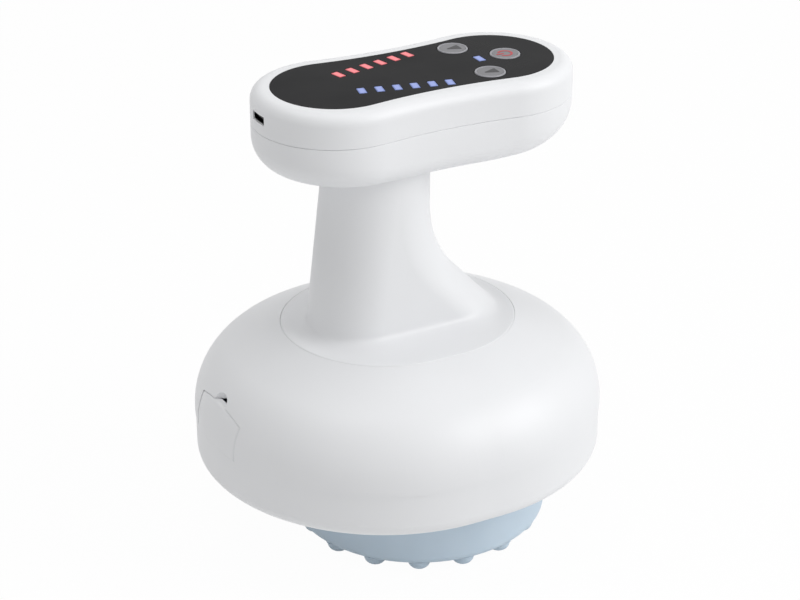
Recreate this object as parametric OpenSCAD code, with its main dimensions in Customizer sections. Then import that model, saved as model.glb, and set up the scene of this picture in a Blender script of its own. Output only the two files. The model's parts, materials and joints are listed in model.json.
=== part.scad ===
// Hand-held kneading massager: a two-lobed handle bar with a flush glass panel on top, an offset neck
// that sweeps forward into a rounded body, and a round silicone head with domed nubs underneath.
// Millimetres, +Z up, +X towards the end of the handle that carries the keys.
// The origin is on the head's own axis, at the level of the nub tips that the massager stands on.

/* [Handle] */
// Height of the panel's face above the surface that the nubs stand on
overall_h = 184; // [176:1:196]
// Distance of the handle's middle from the head's axis, along X
handle_x = -2; // [-6:0.5:2]
// Length of the black panel
panel_len = 110; // [104:1:118]
// Width of the panel across either lobe
lobe_w = 46.64; // [45:0.02:49]
// Width of the panel at its waist
waist_w = 41.84; // [40:0.02:43.6]
// Width of the white rim between the panel and the widest line of the handle
rim_w = 7.2; // [6.8:0.1:8.4]
// Thickness of the handle from its underside to the panel's face
handle_h = 30.2; // [29:0.1:32]
// Height of the upper handle shell, from the seam to the top
handle_upper_h = 12.4; // [12:0.1:13]
// Rounding of the handle's top edge
handle_top_r = 4.5; // [3:0.5:4.5]
// Rounding of the handle's bottom edge at the waist
waist_low_r = 7.2; // [6:0.1:8]
// Rounding of the bottom edge at the end with the charging slot
rear_low_r = 12.6; // [10:0.1:14]
// Rounding of the bottom edge at the end with the power key
front_low_r = 15.4; // [12:0.1:16]
// Wall of both handle shells
handle_wall = 2.4; // [2:0.1:2.8]
// Floor of the lower handle shell, thick enough to let the neck in
handle_floor = 3.6; // [3.4:0.1:4.2]

/* [Control panel] */
// Thickness of the glossy panel
panel_t = 2.2; // [1.8:0.1:2.6]
// Width of the ledge that carries the panel's border
ledge_w = 2.5; // [2:0.1:3]
// Diameter of the three keys
key_d = 11.4; // [10:0.2:12]
// How far a key goes down when it is pressed
key_travel = 0.4; // [0.3:0.05:0.5]
// Distance of the power key from the handle's middle
power_key_x = 38; // [36:0.5:40]
// Distance of the arrow keys from the handle's middle, along X
arrow_key_x = 23.7; // [22:0.5:25]
// Distance of the arrow keys from the handle's centre line
arrow_key_y = 14; // [13:0.1:14.4]
// Number of light bars in each row
light_count = 6; // [4:1:6]
// Distance from one light bar to the next
light_pitch = 6.5; // [5.4:0.1:6.6]
// Width of a light bar along its row
light_w = 3; // [2.2:0.1:3.4]
// Length of a light bar across its row
light_len = 5.4; // [4:0.1:5.6]
// Distance of the first light bars behind the handle's middle
row_start_x = 25.8; // [25:0.1:27]
// Distance of the first light bars from the centre line
row_start_y = 9.2; // [8:0.1:9.6]
// Angle between a row and the centre line
row_angle = 12.6; // [10:0.2:13]
// Distance of the single status light ahead of the handle's middle
status_x = 27.2; // [26:0.1:28]

/* [Neck] */
// Diameter of the neck where it meets the handle
neck_d = 39.3; // [38:0.1:41]
// Distance of the neck's top from the head's axis, along X
neck_x = -17.5; // [-19:0.5:-16]
// Lean of the neck's rear edge
rear_lean = 6.9; // [5:0.1:8]
// Height at which the front of the neck starts to sweep forward
sweep_top = 134.8; // [130:0.2:138]
// Radius of the forward sweep
sweep_r = 43.8; // [40:0.2:46]
// Steepest angle of the forward sweep, from the vertical
sweep_angle = 43; // [40:0.5:45]
// Height at which the neck starts to spread into its flange
spread_top = 92; // [91:0.5:96]
// Wall of the neck
neck_wall = 2.4; // [2:0.1:2.8]
// Half width of the oval flange at the neck's foot
flange_r = 39.5; // [38.5:0.5:41]
// Thickness of the flange at its edge
flange_t = 2.6; // [2.4:0.1:3]

/* [Body] */
// How far the rounded body reaches beyond the head, on either side
body_overhang = 22.2; // [21:0.2:24]
// Length of the straight stretch that the battery bay adds to the round plan
body_straight = 10.9; // [9:0.1:12]
// Centre of the body's front end, along X
body_front_x = -3.3; // [-4:0.1:-2]
// Height of the seam between upper shell and base shell
seam_z = 52; // [50:0.5:53]
// Height of the lower edge of the body's upright belt
belt_low = 39.1; // [38.5:0.1:40.5]
// Height of the upper edge of the body's upright belt
belt_high = 53.8; // [53.4:0.1:56]
// Radius of the shoulder above the belt
shoulder_r = 27.3; // [26:0.1:29]
// Where the crown's centre lies from the shoulder's, inwards and down
crown_shift = [72, 125.4]; // [60:80] and [110:140]
// Radius of the corner under the belt
foot_r = 5.5; // [5:0.1:7]
// Where the rounded underside's centre lies from that corner's, inwards and up
under_shift = [14, 22.5]; // [12:16] and [21:24]
// Wall of the body shells
body_wall = 2.4; // [2.2:0.1:2.8]
// How far the base shell stands back from the upper shell at the seam
seam_step = 0.3; // [0.2:0.05:0.5]

/* [Side cover] */
// Width of the snap-in cover over the battery bay
cover_w = 32.6; // [32:0.1:34]
// Height of the cover's middle above the seam
cover_h = 16; // [15.8:0.1:17]
// How much higher the cover's upper edge is at its middle than at its corners
cover_crown = 2.5; // [1:0.1:2.6]
// Play around the cover
cover_gap = 0.25; // [0.2:0.05:0.3]
// Distance of the finger notch from the centre line
notch_y = 0; // [-2:0.5:2]
// Radius of the scooped finger notch
notch_r = 5; // [4:0.5:6]
// How far the cover is drawn out of its seat
cover_draw = 20; // [15:1:30]

/* [Massage head] */
// Radius of the silicone head at its underside
head_r = 49.5; // [48.5:0.5:50]
// How much wider the silicone head is at its top
head_flare = 1.1; // [0.5:0.1:1.5]
// Height of the underside above the nub tips
nub_h = 4; // [3.5:0.1:4.5]
// Radius of each domed nub
nub_r = 4.5; // [4:0.1:5]
// Distance of the outer ring of nubs from the head's edge
nub_inset = 6.2; // [5.6:0.1:7]
// Number of nubs on each ring
nub_counts = [1, 5, 10, 16]; // each from 1 to 20
// Rounding of the head's lower edge
head_edge_r = 3.5; // [2.5:0.5:4]
// Thickness of the silicone
skin_t = 3; // [2.6:0.1:3.2]
// Gap between the head and the base shell's opening
head_gap = 1.4; // [1:0.1:2]

/* [Drive] */
// Tooth size of the gear pair, as pitch diameter over teeth
gear_module = 1; // [0.9:0.05:1]
// Teeth on the motor's pinion
pinion_teeth = 15; // [12:3:18]
// Teeth on the head's gear, four for each pinion tooth
gear_teeth = 60; // [48:12:60]
// Gap between the gear and the screw heads above it
gear_gap = 1.3; // [1:0.1:2]
// Thickness of the gears
gear_t = 6; // [5:0.5:7]
// Direction of the motor from the head's axis, from +X
motor_angle = 104; // [100:1:108]
// Radius of the motor can
motor_r = 14; // [12:0.5:14.5]
// Gap between the motor can and the gear
motor_gap = 4; // [3.5:0.5:6]
// Radius of the head's spindle
spindle_r = 4; // [3.5:0.1:4.2]
// Radial running clearance of the spindle in its bushes
bush_play = 0.05; // [0.02:0.01:0.08]
// Height of the drive plate's underside
plate_z = 36; // [35.5:0.5:37]
// Thickness of the drive plate
plate_t = 3; // [2.6:0.1:3.2]
// Diameter of one battery cell
cell_d = 14; // [13:0.2:14.2]
// Length of a battery cell
cell_len = 49.6; // [44:0.2:50]

/* [Hidden] */
$fa = 4;
$fs = 0.5;

// Fits shared by every piece
slip = 0.15;       // loose fit between fixed pieces
touch = 0.02;      // fixed round piece in its seat
key_play = 0.25;   // round the keys
tab_play = 0.3;    // round sliding tabs
screw_r = 1.45;    // shank of the small screws
screw_head_r = 2.7;
screw_head_h = 2;
seam_line = 0.15;    // the fine line between two mated shells
pilot_r = 1.5;     // screw hole, drawn just wider than the shank
boss_r = 3.4;

// Levels of the handle
handle_z = overall_h - handle_h;
handle_seam = overall_h - handle_upper_h;
panel_z = overall_h - panel_t;
roof_z = panel_z - 1.8;
cavity_z = handle_z + handle_floor;
board_top = roof_z - 4.5;
board_t = 1.6;
switch_h = 1.4;
key_flange_t = 1;
key_flange_r = key_d / 2 + 1;
key_rise = 0.3;

// Two lobes joined by a shallow waist arc: the plan of the panel, from which the handle is offset
lobe_r = lobe_w / 2;
lobe_x = panel_len / 2 - lobe_r;
waist_r = (lobe_x ^ 2 + (waist_w / 2) ^ 2 - lobe_r ^ 2) / (2 * (lobe_r - waist_w / 2));
waist_y = waist_w / 2 + waist_r;
waist_turn = atan2(waist_y, lobe_x);

function lobe_end(off) = [
    lobe_x - (lobe_r + off) * cos(waist_turn),
    (lobe_r + off) * sin(waist_turn)
];

// Upright edge of a slab as a half section, rounded by low at its foot and by up at its top
module edge_section(w, z0, z1, low, up) {
    difference() {
        translate([0, z0]) square([w, z1 - z0]);
        if (up > 0) difference() {
            translate([w - up, z1 - up]) square(up + 1);
            translate([w - up, z1 - up]) circle(up);
        }
        if (low > 0) difference() {
            translate([w - low, z0 - 1]) square([low + 1, low + 1]);
            translate([w - low, z0 + low]) circle(low, $fa = 6);
        }
    }
}

module waist_outline(tip) {
    polygon([
        [lobe_x, 0], [tip[0], tip[1]], [-tip[0], tip[1]],
        [-lobe_x, 0], [-tip[0], -tip[1]], [tip[0], -tip[1]]
    ]);
}
module lobe_outline(side, tip) {
    far = 2 * lobe_r;
    polygon([
        [side * lobe_x, 0], [side * tip[0], tip[1]], [side * (lobe_x + far), far],
        [side * (lobe_x + far), -far], [side * tip[0], -tip[1]]
    ]);
}

// The two-lobed plan, offset by off, as a slab from z0 to z1 with rounded edges
module lobed_slab(off, z0, z1, low = 0, up = 0) {
    tip = lobe_end(off + 3);
    translate([handle_x, 0, 0]) {
        for (side = [-1, 1]) intersection() {
            translate([0, 0, z0 - 1]) linear_extrude(z1 - z0 + 2) lobe_outline(side, tip);
            translate([side * lobe_x, 0, 0]) rotate_extrude() edge_section(lobe_r + off, z0, z1, low, up);
        }
        difference() {
            translate([0, 0, z0]) linear_extrude(z1 - z0) waist_outline(tip);
            for (side = [-1, 1]) translate([0, side * waist_y, 0]) rotate_extrude()
                waist_cut_section(waist_r - off, z0, z1, low, up);
        }
    }
}

// What the waist arc takes away, seen from the arc's own centre
module waist_cut_section(r, z0, z1, low, up) {
    reach = 16;
    difference() {
        translate([0, z0 - 1]) square([r + reach, z1 - z0 + 2]);
        translate([r + reach, 0]) mirror([1, 0]) edge_section(reach, z0, z1, low, up);
        translate([r + reach - 0.5, z0]) square([1, z1 - z0]);
    }
}

// Places of the panel's keys, lights and board screws
power_at = [handle_x + power_key_x, 0];
function arrow_at(side) = [handle_x + arrow_key_x, side * arrow_key_y];
function light_at(side, i) = [
    handle_x - row_start_x + i * light_pitch * cos(row_angle),
    side * (row_start_y + i * light_pitch * sin(row_angle))
];
status_at = [handle_x + status_x, 0];
board_screw_r = lobe_r + 0.5;
board_screw_turn = 48;
board_screw_head_r = 2.3;
function board_screw_at(i) =
    let (end = i < 2 ? 1 : -1, side = i % 2 == 0 ? 1 : -1)
    [handle_x + end * (lobe_x + board_screw_r * cos(board_screw_turn)),
     side * board_screw_r * sin(board_screw_turn)];

module at_board_screws() {
    for (i = [0:3]) translate(board_screw_at(i)) children();
}
module at_lights(side) {
    for (i = [0:light_count - 1]) translate(light_at(side, i)) rotate([0, 0, side * row_angle])
        children();
}

// Neck: a round plan whose rear edge leans back and whose front edge sweeps forward
neck_r = neck_d / 2;
sweep_drop = sweep_r * sin(sweep_angle);
function sweep_reach(drop) =
    drop <= 0 ? 0
    : drop < sweep_drop ? sweep_r - sqrt(sweep_r ^ 2 - drop ^ 2)
    : sweep_r * (1 - cos(sweep_angle)) + (drop - sweep_drop) * tan(sweep_angle);
function neck_front(z) = neck_x + sweep_reach(sweep_top - z);
function neck_rear(z) = neck_x - (handle_z - z) * tan(rear_lean);
socket_depth = 1;
neck_end = handle_z + socket_depth;

// Body: arcs of the half section, and the flange that sits on its crown
head_top_r = head_r + head_flare;
body_r = head_top_r + body_overhang;
body_rear_x = body_front_x - body_straight;
shoulder_turn = atan2(crown_shift[1], crown_shift[0]);
shoulder_c = [body_r - shoulder_r, belt_high];
crown_c = shoulder_c - crown_shift;
crown_r = shoulder_r + norm(crown_shift);
foot_turn = atan2(under_shift[1], under_shift[0]);
foot_c = [body_r - foot_r, belt_low];
under_c = foot_c + [-under_shift[0], under_shift[1]];
under_r = foot_r + norm(under_shift);
base_z = under_c[1] - under_r;
function crown_z(r, inset = 0) = crown_c[1] + sqrt((crown_r - inset) ^ 2 - (r - crown_c[0]) ^ 2);
flange_z = crown_z(flange_r) - flange_t + 0.2;
ledge_in = flange_r - 6;
ledge_t = 2.4;

// A closed oval loop of points at height z: round ends of radius r at xf and xr
loop_steps = 24;
function oval_loop(xf, xr, r, z) = concat(
    [for (i = [0:loop_steps]) let (a = -90 + 180 * i / loop_steps) [xf + r * cos(a), r * sin(a), z]],
    [for (i = [0:loop_steps]) let (a = 90 + 180 * i / loop_steps) [xr + r * cos(a), r * sin(a), z]]
);
// Skin a ring of loops, the last joined to the first, into one closed tube
module loop_tube(loops) {
    n = len(loops[0]);
    m = len(loops);
    polyhedron(
        [for (loop = loops) each loop],
        [for (j = [0:m - 1], i = [0:n - 1]) each [
            [j * n + i, ((j + 1) % m) * n + i, j * n + (i + 1) % n],
            [j * n + (i + 1) % n, ((j + 1) % m) * n + i, ((j + 1) % m) * n + (i + 1) % n]
        ]]
    );
}

// Loops of the neck's spreading foot: s is 0 at the column and 1 at the flange's edge
spread_steps = 7;
function spread_loop(s, r0, r1, z0, z1, xf0, xf1, xr0, xr1) =
    let (out = 1 - cos(90 * s))
    oval_loop(xf0 + (xf1 - xf0) * out, xr0 + (xr1 - xr0) * out, r0 + (r1 - r0) * out,
              z0 + (z1 - z0) * sin(90 * s));
column_levels = [for (i = [0:8]) spread_top + (sweep_top - spread_top) * i / 8];

// Half section of the body, set back by inset from the outer face
module beyond_arc(c, r, a0, a1) {
    far = 2.4 * r + 10;
    mid = (a0 + a1) / 2;
    difference() {
        polygon([c, c + far * [cos(a0), sin(a0)], c + 1.3 * far * [cos(mid), sin(mid)],
                 c + far * [cos(a1), sin(a1)]]);
        translate(c) circle(r);
    }
}
module body_section(inset) {
    difference() {
        intersection() {
            translate([0, base_z + inset]) square([body_r - inset, overall_h]);
            translate(crown_c) circle(crown_r - inset, $fa = 1);
        }
        beyond_arc(shoulder_c, shoulder_r - inset, 0, shoulder_turn);
        beyond_arc(foot_c, foot_r - inset, -foot_turn, 0);
        // runs on past the foot's turn, where the foot's smaller arc has cut already
        beyond_arc(under_c, under_r - inset, -90, 10 - foot_turn);
    }
}
// Sweep a half section round the body's plan: two half turns and the straight stretch between
module body_sweep() {
    translate([body_front_x, 0, 0]) rotate([0, 0, -90]) rotate_extrude(angle = 180) children();
    translate([body_rear_x, 0, 0]) rotate([0, 0, 90]) rotate_extrude(angle = 180) children();
    for (side = [0, 1]) mirror([0, side, 0]) translate([body_rear_x, 0, 0])
        rotate([90, 0, 90]) linear_extrude(body_straight) children();
}
// A point on the body's plan at distance r from its spine, at turn a from the front
function on_plan(r, a) =
    abs(a) < 90 ? [body_front_x + r * cos(a), r * sin(a)]
    : abs(a) == 90 ? [(body_front_x + body_rear_x) / 2, r * sin(a)]
    : [body_rear_x + r * cos(a), r * sin(a)];
shell_screw_r = body_r - 12;
shell_screw_turns = [-32, 32, -90, 90, -140, 140];
plate_screw_turns = [0, -60, 60, -116, 116, 180];
plate_r = shell_screw_r - boss_r - 1.2;
lug_screw_r = plate_r + 2.6;
flange_screw_r = flange_r - 3;
flange_screw_turns = [-60, 60, -120, 120];
module at_turns(r, turns) {
    for (a = turns) translate(on_plan(r, a)) children();
}

// Cover and battery bay at the rear end
cover_z0 = seam_z + 0.2;
cover_z1 = seam_z + cover_h;
bay_wall = 1.4;
bay_w = 2 * cell_d + 2;
bay_h = cell_d + 1.4;
bay_mid_z = (cover_z0 + cover_z1) / 2 - 0.2;
bay_x0 = body_rear_x - (body_r - 11);
cell_x0 = bay_x0 + 4;
contact_t = 0.5;
bay_x1 = cell_x0 + cell_len + contact_t + 0.2;
notch_z = cover_z1 + 0.3;
cover_arch_r = (cover_w ^ 2 / 4 + cover_crown ^ 2) / (2 * cover_crown);
// Where the body's outer face lies at the rear, at height z and distance y from the centre line
function rear_face(y, z) =
    body_rear_x - sqrt((body_r - shoulder_r + sqrt(shoulder_r ^ 2 - (z - belt_high) ^ 2)) ^ 2 - y ^ 2);

// Drive train
pinion_pitch_r = gear_module * pinion_teeth / 2;
gear_pitch_r = gear_module * gear_teeth / 2;
gear_z = flange_z - ledge_t - screw_head_h - gear_gap - gear_t;
motor_at = (pinion_pitch_r + gear_pitch_r) * [cos(motor_angle), sin(motor_angle)];
plate_top = plate_z + plate_t;
motor_len = gear_z - plate_top - motor_gap;
motor_top = plate_top + motor_len;
motor_boss_h = 1.5;
cradle_h = 8;
bracket_t = 1.2;
shaft_r = 1.15;
bush_wall = 2;
bush_len = 8;
hub_top = 60;
hub_bottom = plate_z - 3.4;
spindle_low = skin_floor_top() + 4;
spindle_top = gear_z + gear_t + 4.6;
gear_hub_r = 8;
clip_t = 1;

function skin_floor_top() = nub_h + skin_t + 1.6;
carrier_z = skin_floor_top() + slip;
carrier_t = 3;
head_top = base_z + 3.4;
opening_r = head_top_r + head_gap;

// Involute gear outline: every flank is a run of points between root and tip
function inv_angle(base, r) = r <= base ? 0 : let (t = acos(base / r)) tan(t) * 180 / PI - t;
function flank_turn(teeth, r) =
    let (pitch = gear_module * teeth / 2, base = pitch * cos(20), thin = 0.92)
    90 / teeth * thin + inv_angle(base, pitch) - inv_angle(base, r);
module gear_outline(teeth) {
    pitch = gear_module * teeth / 2;
    root = pitch - 1.25 * gear_module;
    tip = pitch + 0.92 * gear_module;
    rise = [for (i = [0:4]) root + (tip - root) * i / 4];
    polygon([for (k = [0:teeth - 1]) let (mid = 360 * k / teeth) each concat(
        [for (i = [0:4]) let (a = mid - flank_turn(teeth, rise[i])) rise[i] * [cos(a), sin(a)]],
        [for (i = [4:-1:0]) let (a = mid + flank_turn(teeth, rise[i])) rise[i] * [cos(a), sin(a)]]
    )]);
}

// A round cable along a smooth curve through its route points
function curve_point(p, i, t) =
    let (a = p[max(i - 1, 0)], b = p[i], c = p[i + 1], d = p[min(i + 2, len(p) - 1)])
    0.5 * (2 * b + (c - a) * t + (2 * a - 5 * b + 4 * c - d) * t ^ 2 + (3 * b - a - 3 * c + d) * t ^ 3);
function curve(p, n) = concat(
    [for (i = [0:len(p) - 2], k = [0:n - 1]) curve_point(p, i, k / n)], [p[len(p) - 1]]
);
function unit(v) = v / norm(v);
module cable(route, r, sides = 8) {
    line = curve(route, 3);
    n = len(line);
    rings = [for (i = [0:n - 1])
        let (t = unit(line[min(i + 1, n - 1)] - line[max(i - 1, 0)]),
             u = unit(cross(t, [0.2, 1, 0.1])), v = cross(t, u))
        [for (k = [0:sides - 1]) let (a = 360 * k / sides) line[i] + r * (cos(a) * u + sin(a) * v)]];
    polyhedron(
        [for (ring = rings) each ring],
        concat(
            [[for (k = [0:sides - 1]) k]],
            [[for (k = [sides - 1:-1:0]) (n - 1) * sides + k]],
            [for (i = [0:n - 2], k = [0:sides - 1]) let (a = i * sides + k, b = i * sides + (k + 1) % sides)
                each [[a, a + sides, b], [b, a + sides, b + sides]]]
        )
    );
}

// HANDLE PIECES

module handle_top_shell() {
    color("white") difference() {
        union() {
            difference() {
                lobed_slab(rim_w, handle_seam, overall_h, 0, handle_top_r);
                lobed_slab(rim_w - handle_wall, handle_seam - 1, roof_z);
            }
            // bosses that carry the control board
            at_board_screws() translate([0, 0, board_top]) cylinder(r = boss_r - 0.6, h = roof_z - board_top + 0.5);
        }
        // seat and window of the panel
        lobed_slab(slip, panel_z, overall_h + 1);
        lobed_slab(-ledge_w, handle_seam, overall_h);
        for (side = [-1, 1]) translate([arrow_at(side)[0], arrow_at(side)[1], roof_z - 1])
            cylinder(r = key_flange_r + key_play, h = panel_z - roof_z + 2);
        at_board_screws() translate([0, 0, board_top - 1]) cylinder(r = pilot_r, h = 5);
        usb_slot();
    }
}

// Mouth of the charging socket in the rear end of the upper shell
usb_w = 9;
usb_h = 3.3;
usb_z = board_top + usb_h / 2;
module usb_slot() {
    translate([handle_x - panel_len / 2 - rim_w - 1, -usb_w / 2, usb_z - usb_h / 2])
        cube([handle_wall + 3, usb_w, usb_h]);
}

// Stations round the two-lobed plan: centre of the arc, turn, and 1 on a lobe or -1 on the waist
lobe_steps = 26;
waist_steps = 8;
lobe_bend = 180 - waist_turn;
waist_bend = 180 - 2 * waist_turn;
plan_stations = concat(
    [for (i = [0:lobe_steps]) [[lobe_x, 0], -lobe_bend + 2 * lobe_bend * i / lobe_steps, 1]],
    [for (i = [1:waist_steps - 1]) [[0, waist_y], -waist_turn - waist_bend * i / waist_steps, -1]],
    [for (i = [0:lobe_steps]) [[-lobe_x, 0], 180 - lobe_bend + 2 * lobe_bend * i / lobe_steps, 1]],
    [for (i = [1:waist_steps - 1]) [[0, -waist_y], 180 - waist_turn - waist_bend * i / waist_steps, -1]]
);
function plan_point(s, off) =
    s[0] + (s[2] > 0 ? lobe_r + off : waist_r - off) * [cos(s[1]), sin(s[1])] + [handle_x, 0];
// The rounding of the bottom edge grows from the waist to either end of the handle
function ease(t) = let (u = min(max(t, 0), 1)) u * u * (3 - 2 * u);
low_start = 14;
function low_r(s) =
    let (x = plan_point(s, 0)[0] - handle_x, t = ease((abs(x) - low_start) / (panel_len / 2 - low_start)))
    waist_low_r + ((x > 0 ? front_low_r : rear_low_r) - waist_low_r) * t;
// The lower shell's solid form, set back by inset, from the floor at z0 to the rim at z1
low_steps = 5;
module soft_bowl(off, inset, z0, z1) {
    n = len(plan_stations);
    rings = concat(
        [[for (s = plan_stations) let (at = plan_point(s, off)) [at[0], at[1], z1]]],
        [for (j = [0:low_steps]) let (b = 90 * j / low_steps) [for (s = plan_stations)
            let (r = low_r(s) - inset, at = plan_point(s, off - r * (1 - cos(b))))
            [at[0], at[1], z0 + r * (1 - sin(b))]]]
    );
    m = len(rings);
    polyhedron(
        [for (ring = rings) each ring],
        concat(
            [[for (i = [n - 1:-1:0]) i]],
            [[for (i = [0:n - 1]) (m - 1) * n + i]],
            [for (j = [0:m - 2], i = [0:n - 1]) let (a = j * n + i, b = j * n + (i + 1) % n)
                each [[a, b, a + n], [b, b + n, a + n]]]
        )
    );
}

lip_t = 1.2;
lip_h = 2.5;
module handle_bottom_shell() {
    color("white") difference() {
        union() {
            difference() {
                soft_bowl(rim_w, 0, handle_z, handle_seam - seam_line);
                soft_bowl(rim_w - handle_wall, handle_wall, cavity_z, handle_seam + 1);
            }
            // lip that locates the upper shell
            difference() {
                union() {
                    lobed_slab(rim_w - handle_wall + 0.4, handle_seam - 4, handle_seam - 0.8);
                    lobed_slab(rim_w - handle_wall - 0.1, handle_seam - 4, handle_seam + lip_h);
                }
                lobed_slab(rim_w - handle_wall - 0.1 - lip_t, handle_seam - 5, handle_seam + lip_h + 1);
            }
        }
        // recess that the neck's end seats in, cable hole and screw holes
        translate([neck_x, 0, handle_z - 1]) cylinder(r = neck_r + slip, h = 1 + socket_depth);
        translate([neck_x, 0, handle_z]) cylinder(r = 9, h = 10);
        at_neck_screws() translate([0, 0, handle_z]) cylinder(r = pilot_r, h = 10);
    }
}
neck_screw_r = neck_r - neck_wall - boss_r + 0.4;
module at_neck_screws() {
    for (a = [45, 135, 225, 315]) translate([neck_x, 0, 0] + neck_screw_r * [cos(a), sin(a), 0]) children();
}

module control_panel() {
    color([0.13, 0.13, 0.14]) difference() {
        lobed_slab(0, panel_z, overall_h);
        for (at = [power_at, arrow_at(1), arrow_at(-1)]) translate([at[0], at[1], panel_z - 1])
            cylinder(d = key_d + 2 * key_play, h = panel_t + 2);
        for (side = [-1, 1]) at_lights(side) light_window(slip / 2);
        translate(status_at) light_window(slip / 2);
    }
}
module light_window(grow) {
    translate([-light_w / 2 - grow, -light_len / 2 - grow, panel_z - 1])
        cube([light_w + 2 * grow, light_len + 2 * grow, panel_t + 2]);
}

// A bar of light: a flush lens with a narrower guide down to its emitter
guide_trim = 0.4;
guide_len = 3;
module light_bar() {
    translate([-light_w / 2, -light_len / 2, panel_z]) cube([light_w, light_len, panel_t]);
    translate([-light_w / 2 + guide_trim, -guide_len / 2, board_top + 1.3])
        cube([light_w - 2 * guide_trim, guide_len, panel_z - board_top - 1.3]);
}
module red_light_bars() {
    color("salmon") at_lights(1) light_bar();
}
module blue_light_bars() {
    color("cornflowerblue") at_lights(-1) light_bar();
}
module status_light() {
    color("cornflowerblue") translate(status_at) light_bar();
}
module light_emitters() {
    color("ivory") {
        for (side = [-1, 1]) at_lights(side) emitter();
        translate(status_at) emitter();
    }
}
module emitter() {
    translate([-0.8, -1, board_top]) cube([1.6, 2, 1.2]);
}

// A key: a cap through the panel, a flange that keeps it in, and a plunger over its switch
module key_cap() {
    flange_top = panel_z - 0.15;
    plunger_end = board_top + switch_h + key_travel + 0.15;
    rotate_extrude() difference() {
        union() {
            square_at(0, flange_top - key_flange_t, key_d / 2, overall_h + key_rise);
            square_at(0, flange_top - key_flange_t, key_flange_r, flange_top);
            square_at(0, plunger_end, 1.8, flange_top);
        }
        // rounded rim of the cap
        difference() {
            translate([key_d / 2 - 0.5, overall_h + key_rise - 0.5]) square(1);
            translate([key_d / 2 - 0.5, overall_h + key_rise - 0.5]) circle(0.5);
        }
    }
}
module square_at(x0, z0, x1, z1) {
    translate([x0, z0]) square([x1 - x0, z1 - z0]);
}
module power_key() {
    color("gray") translate(power_at) key_cap();
}
module rear_arrow_key() {
    color("gray") translate(arrow_at(1)) key_cap();
}
module front_arrow_key() {
    color("gray") translate(arrow_at(-1)) key_cap();
}

board_margin = 3.4;
module control_board() {
    color("seagreen") difference() {
        lobed_slab(board_margin, board_top - board_t, board_top);
        at_board_screws() translate([0, 0, board_top - board_t - 1]) cylinder(r = pilot_r + 0.1, h = board_t + 2);
    }
}
module key_switches() {
    color("silver") for (at = [power_at, arrow_at(1), arrow_at(-1)]) translate([at[0], at[1], board_top]) {
        translate([-3, -3, 0]) cube([6, 6, switch_h - 0.4]);
        cylinder(r = 1.7, h = switch_h);
    }
}
module board_screws() {
    color("silver") at_board_screws() translate([0, 0, board_top - board_t]) mirror([0, 0, 1]) {
        cylinder(r = board_screw_head_r, h = screw_head_h);
        translate([0, 0, -board_t - 3.5]) cylinder(r = screw_r, h = board_t + 3.5);
    }
}
// Charging socket: a folded steel shell round a contact tongue, behind its mouth
usb_shell = 0.3;
usb_len = 7;
usb_x = handle_x - panel_len / 2 - board_margin + 0.4;
module usb_socket() {
    color("silver") difference() {
        translate([usb_x - 1.4, -usb_w / 2 + 0.5, board_top]) cube([usb_len, usb_w - 1, usb_h - 0.4]);
        translate([usb_x - 2, -usb_w / 2 + 0.5 + usb_shell, board_top + usb_shell])
            cube([usb_len - 0.8, usb_w - 1 - 2 * usb_shell, usb_h - 0.4 - 2 * usb_shell]);
    }
    color("black") translate([usb_x - 0.6, -2.6, usb_z - 0.5]) cube([usb_len - 1, 5.2, 0.6]);
}

// NECK PIECES

module neck_shell() {
    flange_top = flange_z + flange_t;
    xf = neck_front(spread_top);
    xr = neck_rear(spread_top);
    inner_r = neck_r - neck_wall;
    inner_top = spread_top - 1.5;
    color("white") difference() {
        union() {
            loop_tube(concat(
                [oval_loop(body_front_x, body_rear_x, flange_r, flange_z)],
                [for (i = [0:spread_steps]) spread_loop(1 - i / spread_steps, neck_r, flange_r,
                    spread_top, flange_top, xf, body_front_x, xr, body_rear_x)],
                [for (i = [1:8]) let (z = column_levels[i]) oval_loop(neck_front(z), neck_rear(z), neck_r, z)],
                [oval_loop(neck_x, neck_x, neck_r, neck_end)],
                [oval_loop(neck_x, neck_x, inner_r, neck_end)],
                [for (i = [8:-2:2]) let (z = column_levels[i]) oval_loop(neck_front(z), neck_rear(z), inner_r, z)],
                [for (i = [0:2:spread_steps + 1]) spread_loop(i / (spread_steps + 1), inner_r, ledge_in,
                    inner_top, flange_z, xf, body_front_x, xr, body_rear_x)]
            ));
            // bosses for the screws that come down from the handle
            at_neck_screws() translate([0, 0, neck_end - 14]) cylinder(r = boss_r, h = 14);
        }
        at_neck_screws() translate([0, 0, neck_end - 10]) cylinder(r = pilot_r, h = 12);
        at_turns(flange_screw_r, flange_screw_turns) translate([0, 0, flange_z - 1]) cylinder(r = pilot_r, h = 2.9);
    }
}
module neck_top_screws() {
    color("silver") at_neck_screws() {
        translate([0, 0, cavity_z]) cylinder(r = screw_head_r, h = screw_head_h);
        translate([0, 0, neck_end - 8]) cylinder(r = screw_r, h = cavity_z - neck_end + 8);
    }
}
module flange_screws() {
    color("silver") at_turns(flange_screw_r, flange_screw_turns) {
        translate([0, 0, flange_z - ledge_t - screw_head_h]) cylinder(r = screw_head_r, h = screw_head_h);
        translate([0, 0, flange_z - ledge_t]) cylinder(r = screw_r, h = ledge_t + 1.6);
    }
}

// BODY PIECES

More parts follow.
